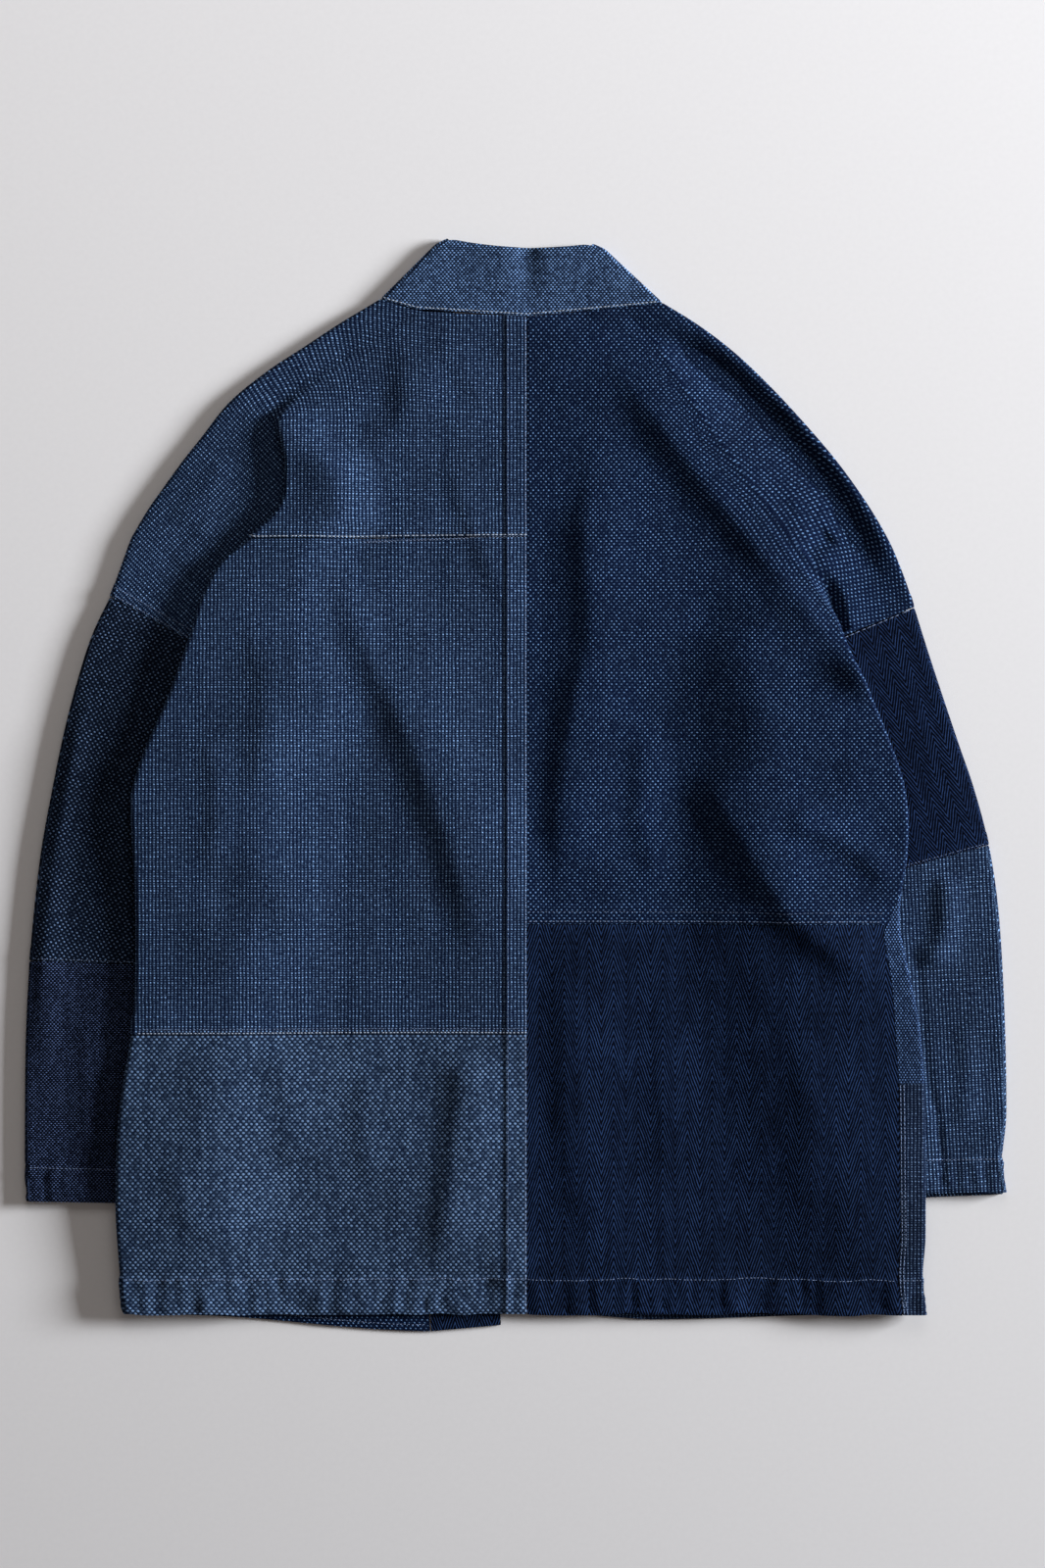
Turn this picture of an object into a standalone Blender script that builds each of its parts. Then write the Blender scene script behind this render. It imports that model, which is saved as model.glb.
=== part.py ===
"""Patchwork cotton jacket, laid flat on its front with the back up and the sleeves down its sides.

The cloth is a thin wall everywhere. Each half of the jacket is a run of cross sections: across the
back from the centre seam, over the side or shoulder fold, and back along the front that lies below.
At the shoulders the cloth is pleated over the sleeve, and the pleat is a real fold of the wall.
All sizes below are millimetres. X is across the jacket, +Y is towards the collar, +Z is up, and the
surface that the jacket lies on is Z = 0.
"""

from collections import namedtuple

import bpy
import numpy as np

MM = 0.001

# Cloth and layers
CLOTH = 1.2          # one layer of heavy sashiko cotton
BAND = 2.4           # the collar and front band, which is the cloth doubled
SEAM_GAP = 0.4       # between two pieces that are sewn together, measured along the rows
TURN = 2.4           # radius of the wall's middle where the cloth folds over
FLOOR_MID = CLOTH / 2
LAID = FLOOR_MID + 2 * TURN      # height of the back's middle where the jacket lies flattest
FELL_WIDTH = 16.0    # felled centre seam, on the left panels
FELL_STEP = 1.5      # how soon the raised seam drops to the single cloth
FELL_RAISE = 0.7
HEM_RAISE = 0.6
PANEL_FELL = 14.0    # felled allowance above each cross seam
PANEL_RAISE = 0.5

# Across the jacket
CENTRE_X = 8.6
PLEAT_REACH = 40.0   # how far in from a pleat its height is felt
EDGE_LIFT = 2.0      # how far shoulder and sleeve edges stand off the surface
EDGE_REACH = 45.0
UNDER_RUN = 12.0     # how far the back cloth runs in under the side fold
HEM_RUN = 3.0        # how far it runs in under the shoulder fold and the collar's fold

# Up and down the jacket
YOKE_SEAM_Y = 188.6
LEFT_SEAM_Y = -191.6
RIGHT_SEAM_Y = -107.6
BACK_HEM_Y = -405.4
HEM_DEPTH = 28.0
CUFF_DEPTH = 27.0

# Shoulder sections, neck to yoke seam or armhole. The centre seam point, the fold (pleat) point and
# the point on the outline; turn is how far the pleat has folded over in degrees, depth how far in
# it runs under.
Shoulder = namedtuple("Shoulder", "centre_y fold_x fold_y turn depth out_x out_y")
LEFT_SHOULDER = [Shoulder(*row) for row in (
    (356.8, -70.0, 360.4, 5, 1, -103.5, 370.1),
    (335.0, -106.0, 340.0, 5, 1, -133.5, 352.1),
    (312.0, -138.0, 318.0, 6, 1, -162.0, 333.4),
    (290.0, -166.0, 298.0, 14, 1, -190.5, 314.6),
    (268.0, -183.0, 277.0, 70, 1, -219.0, 291.0),
    (250.0, -179.0, 260.0, 130, 1, -240.0, 264.5),
    (235.0, -176.0, 244.0, 180, 2, -255.0, 245.5),
    (220.0, -176.0, 229.0, 180, 14, -268.0, 227.5),
    (205.0, -182.0, 209.0, 180, 28, -281.0, 209.0),
    (188.6, -203.0, 187.0, 180, 40, -294.0, 187.0),
)]
RIGHT_SHOULDER = [Shoulder(*row) for row in (
    (356.8, 75.0, 363.2, 5, 1, 112.5, 367.1),
    (330.0, 98.0, 338.0, 5, 1, 140.0, 350.0),
    (302.0, 118.0, 306.0, 5, 1, 167.0, 329.5),
    (274.0, 138.0, 274.0, 5, 1, 194.0, 304.0),
    (246.0, 160.0, 243.0, 6, 1, 221.0, 275.0),
    (218.0, 182.0, 213.0, 8, 1, 246.0, 245.5),
    (190.0, 204.0, 184.0, 14, 1, 268.5, 214.0),
    (163.0, 226.0, 157.0, 30, 1, 285.0, 186.0),
    (143.0, 239.0, 137.0, 90, 1, 294.5, 164.0),
    (127.0, 246.5, 123.0, 160, 2, 300.5, 147.5),
    (112.0, 250.5, 112.0, 180, 22, 304.5, 134.6),
)]

# Side sections, from the underarm to the hem. lift is how high the side fold stands over the laid
# jacket, because the sleeve is tucked below. The jacket keeps that height for flat, going in from
# the fold, and comes down over fall.
Side = namedtuple("Side", "y edge_x lift flat fall")
LEFT_SIDE = [Side(*row) for row in (
    (300.0, -165.0, 0.0, 20, 40),
    (268.0, -183.0, 3.2, 24, 45),
    (235.0, -176.0, 9.6, 30, 45),
    (205.0, -182.0, 9.6, 40, 45),
    (186.0, -203.0, 10.0, 45, 50),
    (169.0, -224.0, 10.8, 55, 55),
    (150.0, -235.5, 11.6, 65, 65),
    (110.0, -249.0, 12.6, 80, 75),
    (68.0, -264.0, 13.0, 86, 85),
    (7.0, -288.8, 13.4, 84, 95),
    (-15.0, -293.3, 13.2, 84, 95),
    (-60.0, -291.0, 12.2, 84, 95),
    (-105.0, -289.5, 11.2, 80, 95),
    (-180.0, -291.6, 10.2, 72, 90),
    (-250.0, -302.3, 9.4, 64, 90),
    (-320.0, -305.0, 8.8, 56, 90),
    (-360.0, -303.0, 7.0, 48, 80),
    (-405.4, -298.5, 5.0, 40, 70),
)]
RIGHT_SIDE = [Side(*row) for row in (
    (200.0, 196.0, 0.0, 30, 50),
    (160.0, 228.0, 2.2, 40, 60),
    (127.0, 246.5, 9.0, 45, 65),
    (112.0, 250.5, 9.6, 60, 70),
    (72.0, 268.5, 11.6, 76, 80),
    (36.0, 283.5, 12.0, 84, 90),
    (0.0, 295.5, 11.8, 84, 95),
    (-31.0, 299.3, 11.4, 84, 95),
    (-58.0, 297.8, 11.0, 84, 95),
    (-88.0, 293.3, 10.6, 84, 95),
    (-105.0, 292.5, 10.2, 84, 95),
    (-131.0, 297.0, 9.9, 84, 95),
    (-180.0, 307.0, 9.5, 82, 95),
    (-225.0, 311.3, 9.2, 76, 95),
    (-300.0, 312.5, 8.8, 60, 90),
    (-345.0, 312.6, 7.0, 50, 80),
    (-376.0, 310.5, 5.8, 42, 75),
    (-405.4, 313.5, 5.0, 40, 70),
)]

# The right side seam, which turns up onto the back: how far along the cloth it lies from the
# outermost point of the side fold
SeamPlace = namedtuple("SeamPlace", "y turned")
RIGHT_SEAM = [SeamPlace(*row) for row in (
    (112.0, 0.0),
    (-70.0, 0.0),
    (-101.0, 7.8),
    (-116.0, 14.3),
    (-143.0, 15.3),
    (-195.0, 20.3),
    (-263.0, 20.8),
    (-405.4, 19.3),
)]

# Sleeve sections, armhole to cuff: the outer edge, and the inner edge that lies under the body
Sleeve = namedtuple("Sleeve", "out_x out_y in_x in_y")
LEFT_SLEEVE = [Sleeve(*row) for row in (
    (-309.8, 142.9, -168.0, 64.0),
    (-325.5, 108.4, -164.0, 36.0),
    (-342.0, 52.1, -167.0, -2.0),
    (-354.0, -4.1, -173.0, -46.0),
    (-363.8, -60.4, -182.0, -92.0),
    (-371.3, -135.4, -196.0, -141.0),
    (-374.6, -210.4, -213.0, -214.0),
    (-375.0, -285.4, -232.0, -288.0),
    (-373.5, -319.1, -241.0, -322.0),
)]
RIGHT_SLEEVE = [Sleeve(*row) for row in (
    (304.5, 134.6, 184.0, 84.0),
    (318.8, 89.6, 172.0, 44.0),
    (337.5, 33.4, 169.0, -8.0),
    (350.3, -4.1, 171.0, -50.0),
    (361.5, -46.9, 176.0, -98.0),
    (369.0, -97.9, 186.0, -136.0),
    (373.5, -172.9, 202.0, -192.0),
    (375.0, -247.9, 221.0, -256.0),
    (372.0, -285.4, 232.0, -288.0),
    (375.0, -312.4, 241.0, -314.0),
)]
LEFT_PATCH_ROW = 5   # the section where the two cloths of each sleeve meet
RIGHT_PATCH_ROW = 4
CUFF_SLIP = 5.5      # how far the right cuff's under layer hangs past the upper one

# Collar and front band
COLLAR_TOP = {"left": (-54.8, 418.9), "right": (61.5, 415.0)}     # top corners
COLLAR_DIP = 5.0     # sag of the collar's top edge between its corners
COLLAR_DENT = 2.2
COLLAR_TURN = (LAID - BAND / 2) / 2
BandEnd = namedtuple("BandEnd", "seam_x inner_x seam_y inner_y")
BAND_END = {
    "left": BandEnd(-64.5, -11.3, -418.9, -414.2),
    "right": BandEnd(98.3, 44.3, -409.9, -405.6),
}
ROW_STEP = 26.0
LEFT_TOP_Y = 186.6   # where the side sections start, just below the shoulder sections
RIGHT_TOP_Y = 88.0
YOKE_TILT = 1.8      # how much higher the yoke seam lies at the centre than at the pleat
FRONT_PATCH_Y = -229.0           # the two cloths of the right front meet here

# Largest folds of the back, as ridges. left and right are the half widths of their two flanks, seen
# along the path. A negative height is a trough.
Fold = namedtuple("Fold", "height left right path")
FOLDS = [Fold(*row) for row in (
    (6.6, 17, 46, ((-132, 175), (-113, 112), (-72, 22), (-42, -60), (-19, -150))),
    (3.8, 16, 28, ((-82, 352), (-82, 294), (-97, 262), (-135, 250), (-172, 248))),
    (7.2, 18, 32, ((66, 338), (117, 268), (166, 206), (222, 138), (262, 84), (276, 60))),
    (-2.4, 12, 7, ((98, 346), (150, 318), (222, 246), (258, 194), (280, 142))),
    (6.4, 14, 34, ((140, 14), (160, -20), (197, -80), (238, -124), (287, -146))),
    (4.8, 13, 36, ((66, 266), (56, 190), (59, 118), (45, 52), (36, -30), (36, -98))),
    (4.4, 13, 28, ((-36, -200), (-44, -278), (-59, -385))),
    (3.0, 16, 30, ((-176, -199), (-170, -250), (-166, -300))),
    (2.8, 15, 30, ((42, -116), (40, -200), (46, -290), (66, -384))),
    (2.4, 10, 14, ((200, -30), (234, -38), (266, -56), (292, -82))),
    (2.2, 10, 18, ((100, 48), (96, -20), (112, -74))),
    (-1.4, 20, 20, ((17, 300), (17, 0), (17, -405))),
)]
SLEEVE_FOLDS = [Fold(*row) for row in (
    (2.4, 14, 12, ((-320, 100), (-314, 30), (-305, -50))),
    (3.6, 9, 10, ((329, -64), (328, -108), (312, -144))),
)]

SIDES = {
    "left": (-1, LEFT_SHOULDER, LEFT_SIDE, LEFT_SLEEVE),
    "right": (1, RIGHT_SHOULDER, RIGHT_SIDE, RIGHT_SLEEVE),
}


# Curves and fields

def ease(t):
    """0 to 1, level at both ends."""
    t = np.clip(t, 0.0, 1.0)
    return t * t * (3 - 2 * t)


def curve(places, values):
    """A smooth curve through values at increasing places, as a function. It never overshoots."""
    places, values = np.asarray(places, float), np.asarray(values, float)
    step = np.diff(places)
    slope = np.diff(values) / step
    inner = (slope[:-1] * step[1:] + slope[1:] * step[:-1]) / (step[:-1] + step[1:])
    steepest = 3 * np.minimum(abs(slope[:-1]), abs(slope[1:]))
    inner = np.where(slope[:-1] * slope[1:] > 0, np.clip(inner, -steepest, steepest), 0)
    tangent = np.concatenate([slope[:1], inner, slope[-1:]])

    def at(place):
        place = np.clip(place, places[0], places[-1])
        i = np.clip(np.searchsorted(places, place, side="right") - 1, 0, len(step) - 1)
        t = (place - places[i]) / step[i]
        start = (1 + 2 * t) * (1 - t) ** 2 * values[i] + t * (1 - t) ** 2 * step[i] * tangent[i]
        end = t * t * (3 - 2 * t) * values[i + 1] - t * t * (1 - t) * step[i] * tangent[i + 1]
        return start + end

    return at


def column(table, name, by="y"):
    """A table's column as a smooth curve of another column, or of the row number."""
    places = range(len(table)) if by is None else [getattr(row, by) for row in table]
    values = [getattr(row, name) for row in table]
    if places[0] > places[-1]:
        places, values = places[::-1], values[::-1]
    return curve(places, values)


def ridge(fold, x, y):
    """Height that a fold adds at x, y. It dies away at both ends of its path."""
    path = np.array(fold.path, float)
    row = np.arange(len(path))
    fine = np.linspace(0, len(path) - 1, 6 * len(path))
    line = np.stack([curve(row, path[:, 0])(fine), curve(row, path[:, 1])(fine)], axis=1)
    nearest = np.full(np.shape(x), np.inf)
    across = np.zeros(np.shape(x))
    along = np.zeros(np.shape(x))
    for i, (start, end) in enumerate(zip(line[:-1], line[1:])):
        way = end - start
        share = ((x - start[0]) * way[0] + (y - start[1]) * way[1]) / (way @ way)
        share = np.clip(share, 0.0, 1.0)
        gone_x = x - start[0] - share * way[0]
        gone_y = y - start[1] - share * way[1]
        far = np.hypot(gone_x, gone_y)
        closer = far < nearest
        nearest = np.where(closer, far, nearest)
        across = np.where(closer, way[0] * gone_y - way[1] * gone_x, across)
        along = np.where(closer, (i + share) / (len(line) - 1), along)
    width = np.where(across > 0, fold.right, fold.left)
    fade = ease(along / 0.22) * ease((1 - along) / 0.22)
    return fold.height * np.exp(-((nearest / width) ** 2)) * fade


def side_lift(table, sign, x, y):
    """How far the tucked sleeve lifts the jacket, near one side."""
    inward = (column(table, "edge_x")(y) - x) * sign
    down = ease((inward - column(table, "flat")(y)) / column(table, "fall")(y))
    top = [row.y for row in table][0]
    return np.where(y > top, 0.0, column(table, "lift")(y)) * (1 - down)


def lying(x, y):
    """Height of the back's middle before folds."""
    return LAID + side_lift(LEFT_SIDE, -1, x, y) + side_lift(RIGHT_SIDE, 1, x, y)


def back_height(x, y):
    return lying(x, y) + sum(ridge(fold, x, y) for fold in FOLDS)


def front_height(x, y):
    return np.maximum(FLOOR_MID, lying(x, y) - 2 * TURN)


def edge_lift(inward):
    """How far the layers at a shoulder or sleeve edge stand off the surface."""
    return EDGE_LIFT * (1 - ease(inward / EDGE_REACH))


# Sections

def along_line(start, end, share):
    share = np.asarray(share, float)[:, None]
    return np.asarray(start, float) * (1 - share) + np.asarray(end, float) * share


def turn_angles(count, total=180.0):
    return np.radians(np.linspace(0, total, count + 1)[1:])


def main_shares(length, count, fell):
    """Where the columns across a back panel lie, as shares of its width."""
    if not fell:
        return np.linspace(0, 1, count + 1)
    first = np.array([0.0, FELL_WIDTH, FELL_WIDTH + FELL_STEP])
    rest = np.linspace(first[-1], length, count - 1)
    return np.concatenate([first, rest[1:]]) / length


def shoulder_section(side, row, counts):
    """One section from the centre seam over the pleat to the shoulder fold, as points and groups."""
    table = SIDES[side][1]
    at = {name: float(column(table, name, None)(row)) for name in Shoulder._fields}
    turn = np.radians(np.clip(at["turn"], 4, 180))
    radius = max(TURN, 6.0 / turn)
    depth = max(at["depth"], 1.0) if turn > 3.1 else 1.0
    drop = 2 * radius * (1 - np.cos(turn)) + depth * np.sin(turn)
    centre = np.array((CENTRE_X, at["centre_y"]))
    fold = np.array((at["fold_x"], at["fold_y"]))
    out = np.array((at["out_x"], at["out_y"]))
    way = (fold - centre) / np.linalg.norm(fold - centre)
    over = (out - fold) / np.linalg.norm(out - fold)
    start = fold - way * (radius * np.sin(min(turn, np.pi / 2)) + CLOTH / 2)
    plain = float(back_height(*start))
    firm = float(ease(turn / 1.1))
    top = plain * (1 - firm) + (LAID + drop) * firm

    length = np.linalg.norm(start - centre)
    shares = main_shares(length, counts["main"], side == "left")
    plan = along_line(centre, start, shares)
    near = 1 - ease((1 - shares) * length / PLEAT_REACH)
    height = back_height(plan[:, 0], plan[:, 1]) + (top - plain) * near
    groups = [np.column_stack([plan, height])]

    angle = turn_angles(counts["turn"]) * turn / np.pi
    plan = start + way * (radius * np.sin(angle))[:, None]
    groups.append(np.column_stack([plan, top - radius * (1 - np.cos(angle))]))
    place, level = plan[-1], groups[-1][-1, 2]

    run = np.linspace(0, depth, counts["run"] + 1)[1:]
    plan = place + over * (run * np.cos(turn))[:, None]
    groups.append(np.column_stack([plan, level - run * np.sin(turn)]))
    place, level = plan[-1], groups[-1][-1, 2]

    angle = turn - turn_angles(counts["turn"]) * turn / np.pi
    plan = place + over * (radius * (np.sin(turn) - np.sin(angle)))[:, None]
    groups.append(np.column_stack([plan, level - radius * (np.cos(angle) - np.cos(turn))]))
    place, level = plan[-1], groups[-1][-1, 2]

    groups.extend(outer_run(place, level, out, counts, float(ease(row / 2))))
    return groups


def outer_run(place, level, out, counts, lift=1.0):
    """From the pleat, or from an inner edge, out to the shoulder fold and round it."""
    width = np.linalg.norm(out - place)
    way = (out - place) / width
    end = out - way * (TURN + CLOTH / 2)
    shares = np.linspace(0, 1, counts["outer"] + 1)[1:]
    plan = along_line(place, end, shares)
    inward = np.linalg.norm(end - plan, axis=1)
    settle = 1 - ease(shares * width / 32.0)
    height = LAID + lift * edge_lift(inward) + (level - LAID - lift * edge_lift(width)) * settle
    height = height + outer_folds(plan, place, width)
    angle = turn_angles(counts["edge"] - 1)
    edge_plan = end + way * (TURN * np.sin(angle))[:, None]
    edge_height = height[-1] - TURN * (1 - np.cos(angle))
    edge_plan = np.concatenate([edge_plan, [end - way * HEM_RUN]])
    edge_height = np.append(edge_height, edge_height[-1])
    return [np.column_stack([plan, height]), np.column_stack([edge_plan, edge_height])]


def outer_folds(plan, place, width):
    """Folds on the shoulder outside the pleat, faded in from the pleat."""
    fade = ease(np.linalg.norm(plan - place, axis=1) / 12.0)
    fade = fade * ease((width - TURN - CLOTH - np.linalg.norm(plan - place, axis=1)) / 6.0)
    return fade * sum(ridge(fold, plan[:, 0], plan[:, 1]) for fold in FOLDS)


def fold_path(start, sign, along, y):
    """Points at distances along the cloth: on the back where negative, then round the side fold."""
    along = np.asarray(along, float)
    flat_x = start + sign * np.minimum(along, 0)
    angle = np.maximum(along, 0) / TURN
    height = back_height(flat_x, y) - TURN * (1 - np.cos(angle))
    return np.column_stack([flat_x + sign * TURN * np.sin(angle), np.full(len(along), y), height])


def side_section(side, y, counts, tilt=0.0):
    """One section below the underarm: the back from the centre seam, and the front from the side
    seam to the under side of the fold. tilt slopes the back so that it follows a cross seam."""
    sign, _, table = SIDES[side][:3]
    start = float(column(table, "edge_x")(y)) - sign * (TURN + CLOTH / 2)
    turned = 0.0 if side == "left" else float(column(RIGHT_SEAM, "turned")(y))
    half = np.pi * TURN / 2
    seam = half - turned
    stop = start + sign * min(0.0, seam - half)
    shares = main_shares(abs(stop - CENTRE_X), counts["main"], side == "left")
    x = CENTRE_X + (stop - CENTRE_X) * shares
    level_y = y + tilt * (1 - shares)
    back = [np.column_stack([x, level_y, back_height(x, level_y)])]
    if side == "right":
        lead = np.linspace(min(0.0, seam - half), seam, counts["turn"] + counts["run"] + 1)[1:]
        back.append(fold_path(start, sign, lead, y))
        bend = max(seam + 0.8, 0.0)
        lead = np.concatenate([[seam, (seam + bend) / 2], np.linspace(bend, 2 * half, 8)])
        return back, fold_path(start, sign, lead, y)

    turn = fold_path(start, sign, np.linspace(0, 2 * half, counts["turn"] + 1)[1:], y)
    run_x = start - sign * np.linspace(0, UNDER_RUN, counts["run"] + 1)[1:]
    run_z = front_height(run_x, y) + turn[-1, 2] - front_height(start, y)
    under = np.column_stack([run_x, np.full(len(run_x), y), run_z])
    return back + [turn, under], under[-1:]


def band_seam_x(side, y):
    """The line where a front meets its band, straight from the neck to the hem."""
    end = BAND_END[side]
    top = collar_fold(side, 0.0)[-1]
    return top[0] + (end.seam_x - top[0]) * (top[1] - y) / (top[1] - end.seam_y)


# Walls

def inset_rows(points, first, last, gap=SEAM_GAP / 2):
    """Draws the first or last row of a grid back from a seam."""
    points = points.copy()
    for use, row, inner in ((first, 0, 1), (last, -1, -2)):
        if use:
            way = points[inner] - points[row]
            points[row] += way * (gap / np.linalg.norm(way, axis=1, keepdims=True))
    return points


def inset_columns(points, first, last, gap=SEAM_GAP / 2):
    return inset_rows(points.transpose(1, 0, 2), first, last, gap).transpose(1, 0, 2)


def wall(name, colour, points, thickness=CLOTH, raised=None, ring=False):
    """A closed wall of cloth about a grid of middle points. Missing points are NaN. raised adds to
    its outer face. A ring joins its last column to its first."""
    rows, columns = points.shape[:2]
    there = ~np.isnan(points[:, :, 0])
    number = np.arange(rows * columns).reshape(rows, columns)
    flat = np.nan_to_num(points.reshape(-1, 3))
    quads = []
    for i in range(rows - 1):
        for j in range(columns if ring else columns - 1):
            k = (j + 1) % columns
            if there[i, j] and there[i, k] and there[i + 1, j] and there[i + 1, k]:
                quads.append((number[i, j], number[i + 1, j], number[i + 1, k], number[i, k]))
    quads = np.array(quads)
    corners = flat[quads]
    face_normals = np.cross(corners[:, 2] - corners[:, 0], corners[:, 3] - corners[:, 1])
    normals = np.zeros_like(flat)
    for corner in range(4):
        np.add.at(normals, quads[:, corner], face_normals)
    normals /= np.maximum(np.linalg.norm(normals, axis=1, keepdims=True), 1e-12)
    up = thickness / 2 + (0 if raised is None else raised.reshape(-1, 1))
    outer, inner = flat + normals * up, flat - normals * thickness / 2
    inner[:, 2] = np.maximum(inner[:, 2], 0.0)
    outer[:, 2] = np.maximum(outer[:, 2], 0.0)

    used = np.unique(quads)
    place = np.full(len(flat), -1)
    place[used] = np.arange(len(used))
    quads = place[quads]
    count = len(used)
    vertices = np.concatenate([outer[used], inner[used]]) * MM
    edges = {}
    for quad in quads:
        for a, b in zip(quad, np.roll(quad, -1)):
            edges.pop((b, a)) if (b, a) in edges else edges.setdefault((a, b), None)
    faces = [tuple(q) for q in quads] + [tuple(q[::-1] + count) for q in quads]
    faces += [(b, a, a + count, b + count) for a, b in edges]

    mesh = bpy.data.meshes.new(name)
    mesh.from_pydata(vertices.tolist(), [], [tuple(int(v) for v in f) for f in faces])
    mesh.validate()
    if signed_volume(mesh) < 0:
        mesh.flip_normals()
    mesh.shade_smooth()
    mesh.set_sharp_from_angle(angle=0.9)
    mesh.materials.append(cloth_material(name, colour))
    made = bpy.data.objects.new(name, mesh)
    jacket.objects.link(made)
    return made


def signed_volume(mesh):
    mesh.calc_loop_triangles()
    spots = np.array([v.co for v in mesh.vertices])
    corners = spots[np.array([t.vertices for t in mesh.loop_triangles])]
    return np.einsum("ij,ij->i", corners[:, 0], np.cross(corners[:, 1], corners[:, 2])).sum()


def cloth_material(name, colour):
    material = bpy.data.materials.new(name)
    material.use_nodes = True
    shader = material.node_tree.nodes["Principled BSDF"]
    shader.inputs["Base Color"].default_value = (*colour, 1)
    shader.inputs["Roughness"].default_value = 0.9
    shader.inputs["Metallic"].default_value = 0.0
    return material


# Cloths, by the colour they read from a step away
GRID_BLUE = (0.060, 0.105, 0.200)
RICE_NAVY = (0.022, 0.050, 0.120)
BIRDSEYE_BLUE = (0.085, 0.150, 0.255)
HERRINGBONE_NAVY = (0.015, 0.035, 0.090)
BASKET_BLUE = (0.065, 0.115, 0.220)
DOT_BLUE = (0.035, 0.065, 0.140)

SHOULDER_COUNTS = {"main": 11, "turn": 5, "run": 2, "outer": 5, "edge": 6}


def stacked(sections):
    """Sections made of point groups, as one grid. Short sections are padded with missing points."""
    rows = [np.concatenate(groups) for groups in sections]
    width = max(len(row) for row in rows)
    grid = np.full((len(rows), width, 3), np.nan)
    for i, row in enumerate(rows):
        grid[i, :len(row)] = row
    return grid


def rows_for(table, seam_rows):
    """Section numbers: every table row, and the two that bound a felled allowance."""
    return sorted(set(range(len(table))) | set(seam_rows))


def row_of_height(table, y):
    fine = np.linspace(0, len(table) - 1, 2001)
    return float(np.interp(-y, -column(table, "centre_y", None)(fine), fine))


def fell_raise(grid):
    """The felled centre seam, raised along the first columns of a left panel."""
    raised = np.zeros(grid.shape[:2])
    raised[:, :2] = FELL_RAISE
    return raised


# Pieces

def make_left_yoke():
    """Back yoke and drop shoulder in one piece. Below the yoke seam only its shoulder part goes on,
    under the body, to the armhole."""
    low = row_of_height(LEFT_SHOULDER, YOKE_SEAM_Y + PANEL_FELL)
    high = row_of_height(LEFT_SHOULDER, YOKE_SEAM_Y + PANEL_FELL + FELL_STEP)
    rows = rows_for(LEFT_SHOULDER, (low, high))
    sections = [shoulder_section("left", row, SHOULDER_COUNTS) for row in rows]
    grid = stacked(sections)
    raised = fell_raise(grid)
    main = SHOULDER_COUNTS["main"] + 1
    cut = [i for i, row in enumerate(rows) if row >= low]
    raised[cut[0]:, :main] += PANEL_RAISE
    grid[:, 0] += (grid[:, 1] - grid[:, 0]) * (SEAM_GAP / 2 / FELL_WIDTH)

    first = sum(SHOULDER_COUNTS[key] for key in ("main", "turn", "run", "turn")) + 1
    inner = SHOULDER_COUNTS["outer"] + SHOULDER_COUNTS["edge"]
    arm = LEFT_SLEEVE[0]
    last = grid[-1, first - 1]
    extra = []
    for share in (0.5, 1.0):
        place = np.array((arm.in_x, arm.in_y)) * share + last[:2] * (1 - share)
        out = np.array((arm.out_x, arm.out_y)) * share
        out = out + np.array(LEFT_SHOULDER[-1][5:7]) * (1 - share)
        groups = outer_run(place, LAID, out, SHOULDER_COUNTS)
        row = np.full((grid.shape[1], 3), np.nan)
        row[first - 1] = (*place, LAID)
        row[first:first + inner] = np.concatenate(groups)
        extra.append(row)
    top = inset_rows(grid, True, False)
    top[-1, :first - 1] = inset_rows(grid, False, True)[-1, :first - 1]
    whole = np.concatenate([top, np.array(extra)])
    whole[-1, first - 1:] = inset_rows(whole[:, first - 1:], False, True)[-1]
    raised = np.concatenate([raised, np.zeros((2, grid.shape[1]))])
    raised[-1, first + 1:-SHOULDER_COUNTS["edge"]] = PANEL_RAISE
    wall("yoke_left", GRID_BLUE, whole, raised=raised)


def side_rows(high, low, depth):
    """Section places of a panel, with two close together above its felled allowance or hem. A front
    has the same ones as the back above it, so that their edges follow one line."""
    count = max(2, int(round((high - low) / ROW_STEP)))
    fixed = (low + depth, low + depth + FELL_STEP)
    even = np.linspace(high, low, count + 1)[1:-1]
    keep = [y for y in even if all(abs(y - place) > ROW_STEP * 0.35 for place in fixed)]
    return sorted({high, low, *fixed, *keep}, reverse=True)


SIDE_COUNTS = {"main": 11, "turn": 5, "run": 2}


def back_panel(name, colour, side, high, low, hem=False, tilt=0.0):
    """A back panel below the underarm, with the felled allowance or the hem along its lower edge."""
    depth = HEM_DEPTH if hem else PANEL_FELL
    ys = side_rows(high, low, depth)
    share = (np.array(ys) - low) / (high - low)
    sections = [side_section(side, y, SIDE_COUNTS, slope)[0] for y, slope in zip(ys, tilt * share ** 2)]
    grid = stacked(sections)
    grid = inset_rows(grid, True, not hem)
    raised = fell_raise(grid) if side == "left" else np.zeros(grid.shape[:2])
    lower = np.array(ys) <= low + depth + 1e-6
    raised[lower, :SIDE_COUNTS["main"] + 1] += HEM_RAISE if hem else PANEL_RAISE
    sign = SIDES[side][0]
    grid[:, 0, 0] += sign * SEAM_GAP / 2
    grid = inset_columns(grid, False, True)
    wall(name, colour, grid, raised=raised)


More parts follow.
